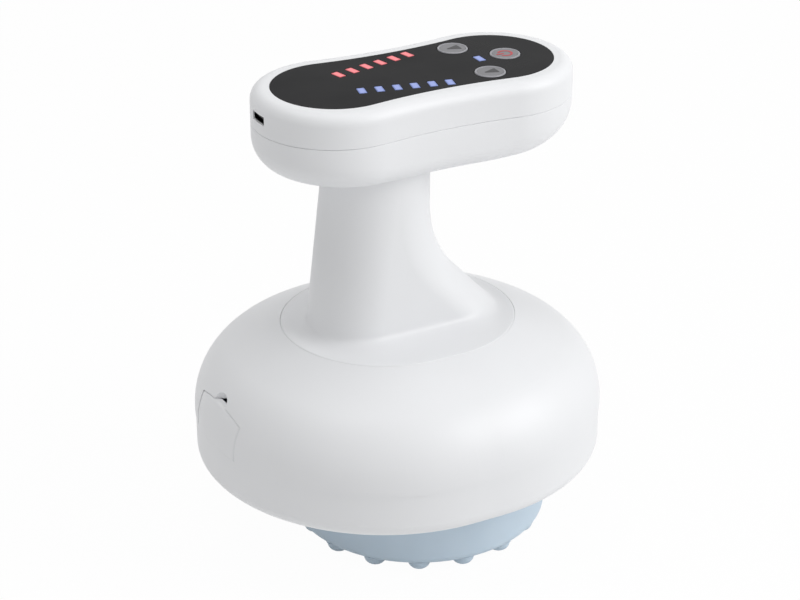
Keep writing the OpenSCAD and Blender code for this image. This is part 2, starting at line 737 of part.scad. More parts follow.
module upper_shell() {
    color("white") difference() {
        union() {
            body_sweep() {
                difference() {
                    body_section(0);
                    body_section(body_wall);
                    square_at(0, 0, body_r + 1, seam_z);
                    square_at(0, flange_z, flange_r + slip, overall_h);
                    square_at(0, seam_z, ledge_in, overall_h);
                }
                // ledge that carries the neck's flange
                square_at(ledge_in, flange_z - ledge_t, flange_r + 3, flange_z);
            }
            // bosses for the screws that come up from the base
            at_turns(shell_screw_r, shell_screw_turns) translate([0, 0, seam_z])
                cylinder(r = boss_r, h = crown_z(shell_screw_r + boss_r) - seam_z - 1);
        }
        at_turns(shell_screw_r, shell_screw_turns) translate([0, 0, seam_z - 1]) cylinder(r = pilot_r, h = 12);
        at_turns(flange_screw_r, flange_screw_turns) translate([0, 0, flange_z - 4])
            cylinder(r = pilot_r + 0.2, h = 5);
        // opening for the side cover, and the finger notch above it
        cover_window(cover_gap, seam_z - 1);
        translate([rear_face(notch_y, notch_z) - notch_out, notch_y, notch_z]) sphere(notch_r);
    }
}
// The way through the rear of the body that the cover fills, with an arched upper edge
notch_out = 1.6;
module cover_window(grow, z0) {
    intersection() {
        translate([-overall_h, -cover_w / 2 - grow, z0])
            cube([overall_h + bay_x0, cover_w + 2 * grow, cover_z1 + grow - z0]);
        translate([-overall_h, 0, cover_z1 - cover_arch_r]) rotate([0, 90, 0])
            cylinder(r = cover_arch_r + grow, h = overall_h + bay_x0 + 1);
    }
}

tab_t = 1.2;
tab_half_h = 3.5;
module side_cover() {
    tab_y = bay_w / 2 - tab_play - tab_t;
    tab_x0 = rear_face(tab_y, bay_mid_z + tab_half_h) + 0.4;
    tab_x1 = cell_x0 - 0.4;
    color("whitesmoke") {
        intersection() {
            body_sweep() difference() {
                body_section(0);
                body_section(body_wall);
            }
            cover_window(0, cover_z0);
        }
        // tongues that slide in the mouth of the battery bay
        for (side = [0, 1]) mirror([0, side, 0]) translate([tab_x0, tab_y, bay_mid_z - tab_half_h])
            cube([tab_x1 - tab_x0, tab_t, 2 * tab_half_h]);
    }
}

tongue_h = 3;
boss_foot_z = base_z + 2.6;
module base_shell() {
    inset = seam_step + body_wall;
    color("white") difference() {
        union() {
            body_sweep() {
                difference() {
                    body_section(seam_step);
                    body_section(inset);
                    square_at(0, seam_z, body_r + 1, overall_h);
                }
                // tongue that locates the upper shell
                square_at(body_r - body_wall - 0.1 - lip_t, seam_z - 5, body_r - body_wall - 0.1, seam_z + tongue_h);
            }
            // collar round the head's opening
            translate([0, 0, base_z + 1]) difference() {
                cylinder(r = opening_r + 2, h = 4.6);
                translate([0, 0, -1]) cylinder(r = opening_r, h = 7);
            }
            at_turns(shell_screw_r, shell_screw_turns) translate([0, 0, boss_foot_z])
                cylinder(r = boss_r + 0.6, h = seam_z - boss_foot_z - 0.2);
            at_turns(lug_screw_r, plate_screw_turns) translate([0, 0, boss_foot_z])
                cylinder(r = boss_r + 0.4, h = plate_z - boss_foot_z);
        }
        translate([0, 0, base_z - 1]) cylinder(r = opening_r, h = 9);
        at_turns(shell_screw_r, shell_screw_turns) translate([0, 0, base_z - 1]) {
            cylinder(r = pilot_r + 0.1, h = 40);
            cylinder(r = screw_head_r + 0.3, h = 9);
        }
        at_turns(lug_screw_r, plate_screw_turns) translate([0, 0, plate_z - 4.4]) cylinder(r = pilot_r, h = 6);
        // the tongue stops where the side cover slides
        translate([-overall_h, -cover_w / 2 - 1, seam_z]) cube([overall_h + bay_x0, cover_w + 2, 9]);
    }
}
module shell_screws() {
    head_z = base_z - 1 + 9;
    color("silver") at_turns(shell_screw_r, shell_screw_turns) {
        translate([0, 0, head_z - screw_head_h]) cylinder(r = screw_head_r, h = screw_head_h);
        translate([0, 0, head_z]) cylinder(r = screw_r, h = seam_z + 9 - head_z);
    }
}

// DRIVE PIECES

module drive_plate() {
    color("dimgray") difference() {
        union() {
            body_sweep() square_at(0, plate_z, plate_r, plate_top);
            at_turns(lug_screw_r, plate_screw_turns) translate([0, 0, plate_z]) cylinder(r = boss_r + 0.8, h = plate_t);
            translate([0, 0, hub_bottom]) cylinder(r = spindle_r + bush_wall + 3.4, h = hub_top - hub_bottom);
            // cradle round the foot of the motor
            translate([motor_at[0], motor_at[1], plate_z]) cylinder(r = motor_r + 1.5, h = plate_t + cradle_h);
            at_board_posts() translate([0, 0, plate_z]) cylinder(r = 2.6, h = driver_z - plate_z);
            for (a = [0:60:300]) rotate([0, 0, a]) translate([0, -1, plate_top - 0.5]) cube([14, 2, 10]);
        }
        translate([0, 0, hub_bottom - 1]) cylinder(r = spindle_r + bush_wall, h = bush_len + 1);
        translate([0, 0, hub_bottom]) cylinder(r = spindle_r + 0.6, h = hub_top - hub_bottom);
        translate([0, 0, hub_top - bush_len]) cylinder(r = spindle_r + bush_wall, h = bush_len + 1);
        translate([motor_at[0], motor_at[1], plate_top]) cylinder(r = motor_r + touch, h = 20);
        at_turns(lug_screw_r, plate_screw_turns) translate([0, 0, plate_z - 1]) cylinder(r = pilot_r, h = plate_t + 2);
        at_bracket_feet() translate([0, 0, plate_z + 0.6]) cylinder(r = pilot_r, h = 4);
    }
}
module plate_screws() {
    color("silver") at_turns(lug_screw_r, plate_screw_turns) {
        translate([0, 0, plate_top]) cylinder(r = screw_head_r, h = screw_head_h);
        translate([0, 0, plate_z - 4]) cylinder(r = screw_r, h = plate_t + 4);
    }
}
module bush(z) {
    translate([0, 0, z]) difference() {
        cylinder(r = spindle_r + bush_wall - touch, h = bush_len);
        translate([0, 0, -1]) cylinder(r = spindle_r + bush_play, h = bush_len + 2);
    }
}
module lower_bush() {
    color("darkgoldenrod") bush(hub_bottom);
}
module upper_bush() {
    color("darkgoldenrod") bush(hub_top - bush_len);
}

module motor_can() {
    color("silver") translate([motor_at[0], motor_at[1], plate_top]) difference() {
        union() {
            cylinder(r = motor_r - 0.6, h = motor_len);
            translate([0, 0, 1.2]) cylinder(r = motor_r, h = motor_len - 2.4);
            cylinder(r = 5, h = motor_len + motor_boss_h);
        }
        translate([0, 0, motor_len - 12]) cylinder(r = shaft_r + 0.06, h = 20);
    }
}
// Folded steel strap over the motor, with a foot on either side
bracket_half = motor_r + 0.4;
foot_len = 8;
bracket_w = 14;
module at_bracket_feet() {
    for (side = [-1, 1])
        translate([motor_at[0] + side * (bracket_half + bracket_t + foot_len / 2), motor_at[1], 0]) children();
}
module motor_bracket() {
    leg_low = plate_top + cradle_h + 0.2;
    color("silver") translate([motor_at[0], motor_at[1], 0]) difference() {
        union() {
            translate([-bracket_half - bracket_t, -bracket_w / 2, motor_top])
                cube([2 * (bracket_half + bracket_t), bracket_w, bracket_t]);
            for (side = [0, 1]) mirror([side, 0, 0]) translate([bracket_half, -bracket_w / 2, 0]) {
                translate([0, 0, leg_low]) cube([bracket_t, bracket_w, motor_top - leg_low + bracket_t]);
                translate([0, 0, leg_low]) cube([2 * bracket_t, bracket_w, bracket_t]);
                translate([bracket_t, 0, plate_top]) cube([bracket_t, bracket_w, leg_low - plate_top + bracket_t]);
                translate([bracket_t, 0, plate_top]) cube([foot_len, bracket_w, bracket_t]);
            }
        }
        translate([0, 0, motor_top - 1]) cylinder(r = 5 + touch, h = 4);
        for (side = [-1, 1]) translate([side * (bracket_half + bracket_t + foot_len / 2), 0, plate_top - 1])
            cylinder(r = pilot_r, h = 4);
    }
}
module motor_screws() {
    color("silver") at_bracket_feet() {
        translate([0, 0, plate_top + bracket_t]) cylinder(r = screw_head_r, h = screw_head_h);
        translate([0, 0, plate_top - 2.2]) cylinder(r = screw_r, h = bracket_t + 2.2);
    }
}
module motor_shaft() {
    color("lightgray") translate([motor_at[0], motor_at[1], motor_top - 11])
        cylinder(r = shaft_r, h = gear_z + gear_t + 1 - motor_top + 11);
}
module drive_pinion() {
    color("khaki") translate([motor_at[0], motor_at[1], gear_z - 0.4]) rotate([0, 0, motor_angle + 180])
        linear_extrude(gear_t + 0.8) difference() {
            gear_outline(pinion_teeth);
            circle(shaft_r + touch);
        }
}
module drive_gear() {
    rim_in = gear_pitch_r - 5;
    color("ivory") difference() {
        union() {
            translate([0, 0, gear_z]) rotate([0, 0, motor_angle + 180 / gear_teeth]) linear_extrude(gear_t)
                gear_outline(gear_teeth);
            translate([0, 0, gear_z - 1.5]) cylinder(r = gear_hub_r, h = gear_t + 3);
        }
        // web thinned between hub and rim, with six lightening holes
        for (z = [gear_z - 1, gear_z + gear_t - 1.6]) translate([0, 0, z]) difference() {
            cylinder(r = rim_in, h = 2.6);
            translate([0, 0, -1]) cylinder(r = gear_hub_r, h = 5);
        }
        for (a = [0:60:300]) rotate([0, 0, a]) translate([(rim_in + gear_hub_r) / 2, 0, gear_z - 1])
            cylinder(r = 5, h = gear_t + 2);
        translate([0, 0, gear_z - 3]) cylinder(r = spindle_r + touch, h = gear_t + 6);
    }
}
module spindle() {
    color("lightgray") difference() {
        union() {
            translate([0, 0, spindle_low]) cylinder(r = spindle_r, h = spindle_top - spindle_low);
            // thrust collar under the lower bush, and the shoulder that the gear sits on
            translate([0, 0, hub_bottom - 0.2 - 3]) cylinder(r = spindle_r + 2, h = 3);
            translate([0, 0, hub_top + 0.2]) cylinder(r = spindle_r + 2, h = gear_z - 1.5 - hub_top - 0.2);
        }
        translate([0, 0, spindle_low - 1]) cylinder(r = pilot_r, h = 13);
        // groove of the retaining clip
        translate([0, 0, clip_z()]) difference() {
            cylinder(r = spindle_r + 1, h = clip_t);
            translate([0, 0, -1]) cylinder(r = spindle_r - 0.8, h = clip_t + 2);
        }
    }
}
function clip_z() = gear_z + gear_t + 1.5 + 0.1;
module gear_clip() {
    color("dimgray") translate([0, 0, clip_z() + 0.05]) linear_extrude(clip_t - 0.1) difference() {
        circle(spindle_r + 2.6);
        circle(spindle_r - 0.8 + touch);
        translate([0, -1.6]) square([spindle_r + 4, 3.2]);
    }
}

// MASSAGE HEAD PIECES

carrier_r = head_r - skin_t - slip;
rim_top = head_top - 1.5;
hub_cap_z = hub_bottom - 0.2 - 3 - 0.3;
module head_carrier() {
    color("gainsboro") difference() {
        union() {
            translate([0, 0, carrier_z]) cylinder(r = carrier_r, h = carrier_t);
            translate([0, 0, carrier_z + 1]) difference() {
                cylinder(r = carrier_r - 0.1, h = rim_top - carrier_z - 1);
                translate([0, 0, 1]) cylinder(r = carrier_r - 2.2, h = rim_top);
            }
            translate([0, 0, carrier_z + 1]) cylinder(r = spindle_r + 5, h = hub_cap_z - carrier_z - 1);
            for (a = [0:60:300]) rotate([0, 0, a]) translate([0, -1, carrier_z + 1]) cube([carrier_r - 1, 2, 8]);
        }
        translate([0, 0, spindle_low]) cylinder(r = spindle_r + touch, h = 30);
        translate([0, 0, carrier_z - 1]) cylinder(r = pilot_r + 0.1, h = 9);
        translate([0, 0, carrier_z - 1]) cylinder(r = 4.6, h = 1 + 2.4);
    }
}
module head_screw() {
    color("silver") {
        translate([0, 0, carrier_z + 0.3]) cylinder(r = 4.4, h = 2.1);
        translate([0, 0, carrier_z + 2.4]) cylinder(r = screw_r, h = spindle_low + 10 - carrier_z - 2.4);
    }
}
nub_rings = [for (k = [0:3]) (head_r - nub_inset) * k / 3];
module nubs() {
    for (k = [0:len(nub_rings) - 1], i = [0:nub_counts[k] - 1])
        rotate([0, 0, 360 * i / nub_counts[k] + 12 * k]) translate([nub_rings[k], 0, nub_r - 0.2]) sphere(nub_r);
}
module massage_head() {
    inner_r = carrier_r + slip;
    color("lightsteelblue") difference() {
        union() {
            rotate_extrude() difference() {
                polygon([[0, nub_h], [head_r, nub_h], [head_r, nub_h + head_edge_r],
                         [head_top_r, head_top], [0, head_top]]);
                difference() {
                    translate([head_r - head_edge_r, nub_h - 1]) square([head_edge_r + 1, head_edge_r + 1]);
                    translate([head_r - head_edge_r, nub_h + head_edge_r]) circle(head_edge_r);
                }
                square_at(0, skin_floor_top(), inner_r, rim_top + slip);
                // lip that hooks over the carrier's rim
                square_at(0, rim_top, inner_r - 3, head_top + 1);
            }
            intersection() {
                nubs();
                cylinder(r = head_r, h = nub_h + 1);
            }
        }
        // the silicone's own floor stays whole above the nubs
        translate([0, 0, skin_floor_top()]) cylinder(r = inner_r, h = rim_top + slip - skin_floor_top());
    }
}

// BATTERY AND DRIVER

module battery_bay() {
    low = bay_mid_z - bay_h / 2;
    leg_x0 = body_rear_x - plate_r + 6;
    color("dimgray") {
        difference() {
            translate([bay_x0, -bay_w / 2 - bay_wall, low - bay_wall])
                cube([bay_x1 - bay_x0 + bay_wall, bay_w + 2 * bay_wall, bay_h + 2 * bay_wall]);
            translate([bay_x0 - 1, -bay_w / 2, low]) cube([bay_x1 - bay_x0 + 1, bay_w, bay_h]);
        }
        for (side = [-1, 1]) translate([leg_x0, side * bay_w / 2 - 1, plate_top])
            cube([bay_x1 - leg_x0 - 4, 2, low - bay_wall - plate_top + 0.2]);
    }
}
module battery_cells() {
    color("steelblue") for (side = [-1, 1])
        translate([cell_x0, side * (cell_d / 2 + 0.1), bay_mid_z]) rotate([0, 90, 0])
            cylinder(d = cell_d, h = cell_len);
}
module battery_contacts() {
    color("gold") for (side = [-1, 1])
        translate([cell_x0 + cell_len + 0.1, side * (cell_d / 2 + 0.1) - 4, bay_mid_z - 5])
            cube([contact_t, 8, 10]);
}
driver_z = 44;
driver_len = 32;
driver_x0 = body_front_x + plate_r - 5.9 - driver_len;
driver_w = 38;
board_post_in = 4;
module at_board_posts() {
    for (x = [driver_x0 + board_post_in, driver_x0 + driver_len - board_post_in], side = [-1, 1])
        translate([x, side * (driver_w / 2 - board_post_in), 0]) children();
}
module driver_board() {
    color("seagreen") translate([driver_x0, -driver_w / 2, driver_z]) cube([driver_len, driver_w, board_t]);
}
module driver_parts() {
    top = driver_z + board_t;
    color("black") {
        translate([driver_x0 + 12, -4, top]) cube([8, 8, 1.6]);
        translate([driver_x0 + 24, 8, top]) cylinder(r = 4, h = 9);
        translate([driver_x0 + 24, -8, top]) cylinder(r = 3, h = 7);
    }
    color("white") {
        translate([driver_x0, -18, top]) cube([6, 8, connector_h]);
        translate([driver_x0 + 3, 11, top]) cube([6, 6, connector_h]);
    }
}
// The loom runs from the control board's plug down the neck, past the battery bay, to the driver board
connector_h = 4;
wire_z = driver_z + board_t + connector_h / 2;
loom_r = 2;
loom_route = [
    [neck_x, 0, board_top - board_t - 0.1], [neck_x, 0, handle_z], [-21, 0, 122], [-25, -3, 102], [-31, -12, 87],
    [-37, -21, 74], [-37.5, -23.5, 60], [-29, -25, 50], [-12, -24, wire_z], [2, -18, wire_z],
    [driver_x0 - 5, -14, wire_z], [driver_x0 - 0.3, -14, wire_z]
];
lead_r = 1.2;
lead_z = plate_top + cradle_h + 3.5;
lead_turn = -38.7;
function from_motor(r) = [motor_at[0] + r * cos(lead_turn), motor_at[1] + r * sin(lead_turn), lead_z];
motor_lead_route = [
    [driver_x0 + 2.8, 14, wire_z], [driver_x0 + 1.2, 14, wire_z], [driver_x0 - 2, 15.5, wire_z + 0.6],
    from_motor(motor_r + 8), from_motor(motor_r + 4), from_motor(motor_r + 0.05)
];
module wiring_loom() {
    color("black") {
        cable(loom_route, loom_r);
        cable(motor_lead_route, lead_r);
    }
}

handle_top_shell();
handle_bottom_shell();
control_panel();
power_key();
rear_arrow_key();
front_arrow_key();
red_light_bars();
blue_light_bars();
status_light();
control_board();
key_switches();
light_emitters();
board_screws();
usb_socket();
neck_shell();
neck_top_screws();
flange_screws();
upper_shell();
base_shell();
shell_screws();
side_cover();
drive_plate();
plate_screws();
lower_bush();
upper_bush();
motor_can();
motor_bracket();
motor_screws();
motor_shaft();
drive_pinion();
drive_gear();
spindle();
gear_clip();
head_carrier();
head_screw();
massage_head();
battery_bay();
battery_cells();
battery_contacts();
driver_board();
driver_parts();
wiring_loom();
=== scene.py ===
"""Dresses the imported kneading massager: moulded white shells, a glossy key panel with lit bars, and a
matt silicone head with round nubs, on a pale floor. Shapes are worked out in millimetres and made in
metres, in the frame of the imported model: +Z is up, +X points to the keys' end of the handle, and the head
turns about Z."""

import json
import math
from types import SimpleNamespace

import bpy
import numpy as np
from bpy.props import FloatProperty, FloatVectorProperty, IntProperty, PointerProperty
from bpy.types import Operator, Panel, PropertyGroup
from mathutils import Matrix, Vector


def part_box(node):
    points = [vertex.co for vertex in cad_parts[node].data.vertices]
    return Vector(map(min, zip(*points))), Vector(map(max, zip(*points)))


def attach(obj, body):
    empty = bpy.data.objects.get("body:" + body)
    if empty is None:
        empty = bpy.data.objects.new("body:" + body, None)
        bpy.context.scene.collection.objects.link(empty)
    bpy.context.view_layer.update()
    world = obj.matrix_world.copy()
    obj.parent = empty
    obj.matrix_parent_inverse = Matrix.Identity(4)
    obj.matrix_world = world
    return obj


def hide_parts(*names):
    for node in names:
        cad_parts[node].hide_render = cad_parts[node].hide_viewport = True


bl_info = {
    "name": "Kneading massager dresser",
    "version": (1, 0, 0),
    "blender": (4, 5, 0),
    "location": "View3D > Sidebar > Massager",
    "description": "Shells, keys, lit bars, silicone head, finishes and studio for a hand-held massager",
    "category": "Object",
}

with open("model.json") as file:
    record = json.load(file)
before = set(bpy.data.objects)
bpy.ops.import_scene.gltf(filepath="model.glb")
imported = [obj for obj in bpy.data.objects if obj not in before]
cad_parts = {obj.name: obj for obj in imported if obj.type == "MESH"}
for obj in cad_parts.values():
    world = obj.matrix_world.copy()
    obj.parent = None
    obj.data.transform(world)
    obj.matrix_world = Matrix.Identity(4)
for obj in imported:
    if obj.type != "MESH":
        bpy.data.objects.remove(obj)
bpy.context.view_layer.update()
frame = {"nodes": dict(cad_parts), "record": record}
NODES = frame["nodes"]
MM = 0.001


def corners(node):
    """Lowest and highest corner (x, y, z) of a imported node, in millimetres."""
    return np.round(np.array(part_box(node)) / MM, 3)


# The photograph's camera, solved in the frame of the model
PHOTO_W = 800
CAMERA_AT = (-0.3690, -0.6834, 0.4715)
CAMERA_AZIMUTH = -27.86
CAMERA_ELEVATION = 26.08
CAMERA_ROLL = -0.06
FOCAL_PIXELS = 2281.0
SENSOR_W = 36.0
CAMERA_NEAR, CAMERA_FAR = 0.05, 20.0

# The studio: name, place and power of each softbox, then levels where 1 is white
SOFTBOXES = (
    ("right_softbox", (0.88, -0.85, 0.92), 11.6),
    ("left_softbox", (-1.2, -0.6, 0.6), 0.9),
    ("top_softbox", (-0.2, 0.1, 1.5), 5.7),
)
SOFTBOX_SIDE = 1.0
SOFTBOX_AIM = (0, 0, 0.09)
WORLD_LIGHT, WORLD_SEEN = 0.4, 1.0
FLOOR_HALF = 3.0
# How much of the floor's own shading is replaced by plain white where it is seen
FLOOR_WHITE = 0.97

# The wall of the moulded shells
WALL = 2.4

# The handle: a panel flush in the upper shell, which meets the lower shell at the seam
PANEL_REAR, PANEL_FRONT = corners("control_panel")[:, 0]
PANEL_LOW, PANEL_TOP = corners("control_panel")[:, 2]
HANDLE_X = (PANEL_REAR + PANEL_FRONT) / 2
HANDLE_FRONT = corners("handle_top_shell")[1, 0]
HANDLE_SEAM = corners("handle_top_shell")[0, 2]
HANDLE_LOW = corners("handle_bottom_shell")[0, 2]
KEY_TOP = corners("power_key")[1, 2]
BAR_LOW = corners("red_light_bars")[0, 2]
# Width of a key's raised rim, how far the key's face lies below it, and the thickness of a print
KEY_RIM_W = 0.9
KEY_DIP = 0.14
PRINT_T = 0.06

# The neck: a column about NECK_X on an oval flange, whose round ends are about the body's own two centres
NECK_X = corners("neck_top_screws")[:, 0].mean()
NECK_END = corners("neck_shell")[1, 2]
FLANGE_HALF = corners("neck_shell")[1, 1]
BODY_REAR = corners("neck_shell")[0, 0] + FLANGE_HALF
BODY_FRONT = corners("neck_shell")[1, 0] - FLANGE_HALF
# Height of the flange's upper edge, where the neck's foot meets the body
FLANGE_TOP = 87.32

# The body: two shells that meet at the seam, upright up to the belt's top, then an arc over the shoulder
BODY_R = corners("upper_shell")[1, 1]
BODY_SEAM = corners("upper_shell")[0, 2]
BELT_TOP = 53.8
SHOULDER_R = 27.3
# The inner end of the side cover's tongues
COVER_FRONT = corners("side_cover")[1, 0]

# The head: its top edge, and how far it is turned about its own axis in the photograph, in degrees
HEAD_TOP = corners("massage_head")[1, 2]
HEAD_TURN = 4.0


# Sizes and colours


def linear(hex_colour):
    """sRGB hex to linear: each channel c becomes ((c + 0.055) / 1.055) ** 2.4, or c / 12.92 near black."""
    channels = [int(hex_colour.lstrip("#")[i : i + 2], 16) / 255 for i in (0, 2, 4)]
    return (*(c / 12.92 if c <= 0.04045 else ((c + 0.055) / 1.055) ** 2.4 for c in channels), 1.0)


def span(name, length, about):
    """A length that a user may change, given here in millimetres and kept in metres."""
    return FloatProperty(
        name=name, default=float(length) * MM, min=0.0, precision=5, unit="LENGTH", description=about
    )


def tint(name, hex_colour, about):
    """A colour that a user may change."""
    return FloatVectorProperty(
        name=name, size=4, subtype="COLOR", min=0.0, max=1.0, default=linear(hex_colour), description=about
    )


class MassagerSizes(PropertyGroup):
    """Sizes of the new pieces."""

    panel_len: span("Panel length", PANEL_FRONT - PANEL_REAR, "Length of the black panel")
    lobe_w: span("Lobe width", 46.64, "Width of the panel across either lobe")
    waist_w: span("Waist width", 41.84, "Width of the panel at its waist")
    rim_w: span("Rim", HANDLE_FRONT - PANEL_FRONT, "White rim from the panel to the handle's widest line")
    waist_low_r: span("Waist rounding", 7.2, "Rounding of the handle's bottom edge at the waist")
    rear_low_r: span("Rear rounding", 12.6, "Rounding of the bottom edge at the charging slot's end")
    front_low_r: span("Front rounding", 15.4, "Rounding of the bottom edge at the power key's end")
    neck_r: span("Neck radius", 19.65, "Radius of the neck where it meets the handle")
    flange_r: span("Flange half width", FLANGE_HALF + 0.1, "Half width of the flange at the neck's foot")
    key_r: span("Key radius", 5.7, "Radius of the three keys")
    key_rise: span("Key rise", KEY_TOP - PANEL_TOP, "How far a key's rim stands above the panel")
    symbol_r: span("Power symbol radius", 2.5, "Middle radius of the power symbol's ring")
    symbol_bar: span("Power symbol bar", 3.2, "Length of the power symbol's bar")
    stroke: span("Stroke", 0.8, "Width of the power symbol's strokes")
    arrow_w: span("Arrow width", 4.4, "Width of a printed arrow at its base")
    arrow_len: span("Arrow length", 5.6, "Length of a printed arrow")
    bar_w: span("Bar width", 3.0, "Width of a lit bar")
    bar_len: span("Bar length", 5.4, "Length of a lit bar")
    cover_w: span("Cover width", 2 * corners("side_cover")[1, 1], "Width of the side cover")
    cover_h: span("Cover height", 16.0, "Height of the side cover from the seam to the top of its arch")
    cover_crown: span("Cover crown", 2.5, "How far the cover's top arches above its upper corners")
    head_r: span("Head radius", 49.5, "Radius of the silicone head at its underside")
    head_top_r: span("Head top radius", corners("massage_head")[1, 0], "Radius of the head at its top")
    nub_r: span("Nub radius", 4.9, "Radius of each round nub at its foot")
    nub_h: span("Nub height", 4.0, "How far a nub stands below the head's face")
    around: IntProperty(name="Steps around", default=256, min=64, description="Points round large surfaces")


class MassagerColours(PropertyGroup):
    """Colours of the pieces that show."""

    shell: tint("Shell", "#EDEEF0", "White moulded shells")
    panel: tint("Panel", "#141416", "Smoked panel")
    key: tint("Key", "#707074", "Face of a key")
    rim: tint("Key rim", "#96969C", "Raised rim of a key")
    arrow: tint("Arrow", "#2A2A2C", "Printed arrows")
    power: tint("Power mark", "#B8303A", "Printed power symbol")
    red: tint("Red bars", "#E0525C", "Lit red bars")
    blue: tint("Blue bars", "#7288D0", "Lit blue bars")
    silicone: tint("Silicone", "#CADBE9", "Massage head")


def sizes(context):
    """The scene's sizes: each length in millimetres, and the count as it is."""
    group = context.scene.massager_sizes
    size = SimpleNamespace()
    for name in MassagerSizes.__annotations__:
        kept = getattr(group, name)
        setattr(size, name, kept if isinstance(kept, int) else round(kept / MM, 4))
    return size


# Meshes


def tube(rings, looped=False, sharp=40.0):
    """Points and faces of a tube: rings[ring, step, xyz], each ring joined to the next all round. The
    first and last ring are closed by one flat face each, or joined to each other in a loop. The signed
    volume, the sum of a . (b x c) over the triangles, is negative where the faces point inwards, and then
    they are turned round."""
    count, steps = rings.shape[:2]
    index = np.arange(count * steps).reshape(count, steps)
    lower = index if looped else index[:-1]
    upper = np.roll(index, -1, axis=0) if looped else index[1:]
    quads = np.stack([lower, np.roll(lower, -1, axis=1), np.roll(upper, -1, axis=1), upper], axis=-1)
    quads = quads.reshape(-1, 4)
    ends = [] if looped else [index[0, ::-1], index[-1]]
    points = rings.reshape(-1, 3)
    a, b, c, d = (points[quads[:, k]] for k in range(4))
    volume = np.einsum("ij,ij->", a, np.cross(b, c) + np.cross(c, d))
    for end in ends:
        rim = points[end]
        volume += rim[0] @ np.cross(rim[1:-1], rim[2:]).sum(axis=0)
    faces = [quads, *(end[None] for end in ends)]
    if volume < 0:
        faces = [group[:, ::-1] for group in faces]
    return points, faces, sharp


def place(name, data):
    """A new object in the scene for a mesh, a lamp or the camera."""
    made = bpy.data.objects.new(name, data)
    bpy.context.scene.collection.objects.link(made)
    return made


def piece(name, tubes, body, slot, material, replaced=(), glow=None):
    """One object from tubes, smooth except past the first one's sharp angle. It rides on a body and stands
    for the replaced nodes; slot is not used. glow, a number for each point, is kept with the mesh for its
    material."""
    starts = np.cumsum([0] + [len(points) for points, _, _ in tubes])
    faces = []
    for (_, groups, _), start in zip(tubes, starts):
        for group in groups:
            faces += (group + start).tolist()
    mesh = bpy.data.meshes.new(name)
    mesh.from_pydata((np.concatenate([points for points, _, _ in tubes]) * MM).tolist(), [], faces)
    mesh.materials.append(material)
    mesh.shade_smooth()
    mesh.set_sharp_from_angle(angle=math.radians(tubes[0][2]))
    if glow is not None:
        mesh.attributes.new("glow", "FLOAT", "POINT").data.foreach_set("value", glow)
    made = place(name, mesh)
    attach(made, body)
    if replaced:
        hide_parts(*replaced)
    return made


def arc(centre, radius, start, end, steps):
    """Points (across, up) on an arc of a profile, from start to end in degrees."""
    turn = np.radians(np.linspace(start, end, steps))
    return np.stack([centre[0] + radius * np.cos(turn), centre[1] + radius * np.sin(turn)], axis=-1)


def turned(profile, steps, centre=(0.0, 0.0)):
    """Rings of a revolved profile: (radius r, height z) goes to (r cos t, r sin t, z) round the centre."""
    turn = np.linspace(0, 2 * np.pi, steps, endpoint=False)
    radius, height = np.asarray(profile, float).T[:, :, None]
    x, y = centre[0] + radius * np.cos(turn), centre[1] + radius * np.sin(turn)
    return np.stack([x, y, np.broadcast_to(height, x.shape)], axis=-1)


def raised(outline, height):
    """A ring (x, y, z): an outline (x, y) at a height."""
    return np.column_stack([outline, np.full(len(outline), height)])


def facing(outline, x):
    """A ring (x, y, z): an outline (y, z) at a place along X."""
    return np.column_stack([np.full(len(outline), x), outline])


def ease(share):
    """Smooth step, 3 t squared less 2 t cubed, held between 0 and 1."""
    share = np.clip(share, 0, 1)
    return share * share * (3 - 2 * share)


def round_rect(width, depth, corner, steps=7):
    """Outline of a rectangle about the origin, each corner a quarter circle."""
    angle = np.radians(np.concatenate([np.linspace(q, q + 90, steps) for q in (0, 90, 180, 270)]))
    middle = np.repeat([(1, 1), (-1, 1), (-1, -1), (1, -1)], steps, axis=0)
    reach = np.array([width / 2 - corner, depth / 2 - corner])
    return middle * reach + corner * np.stack([np.cos(angle), np.sin(angle)], axis=-1)


# Handle shell and neck


def lobed_plan(size):
    """The panel's plan, steps round from the front lobe by the waist at +Y, the rear lobe and the other
    waist: each is an arc tangent to the next. Returns points and outward normals, away from a lobe's
    centre and towards a waist's."""
    lobe_r, half = size.lobe_w / 2, size.waist_w / 2
    lobe_x = size.panel_len / 2 - lobe_r
    waist_r = (lobe_x**2 + half**2 - lobe_r**2) / (2 * (lobe_r - half))
    waist_y = half + waist_r
    turn = math.atan2(waist_y, lobe_x)
    bend = math.pi - turn
    on_lobe, on_waist = size.around * 3 // 8, size.around // 8
    arcs = (
        ((lobe_x, 0), lobe_r, -bend, bend, on_lobe, 1),
        ((0, waist_y), waist_r, -turn, turn - math.pi, on_waist, -1),
        ((-lobe_x, 0), lobe_r, math.pi - bend, math.pi + bend, on_lobe, 1),
        ((0, -waist_y), waist_r, math.pi - turn, turn, on_waist, -1),
    )
    points, normals = [], []
    for centre, radius, start, end, steps, way in arcs:
        angle = np.linspace(start, end, steps, endpoint=False)
        spoke = np.stack([np.cos(angle), np.sin(angle)], axis=-1)
        points.append(np.asarray(centre) + radius * spoke)
        normals.append(way * spoke)
    return np.concatenate(points), np.concatenate(normals)


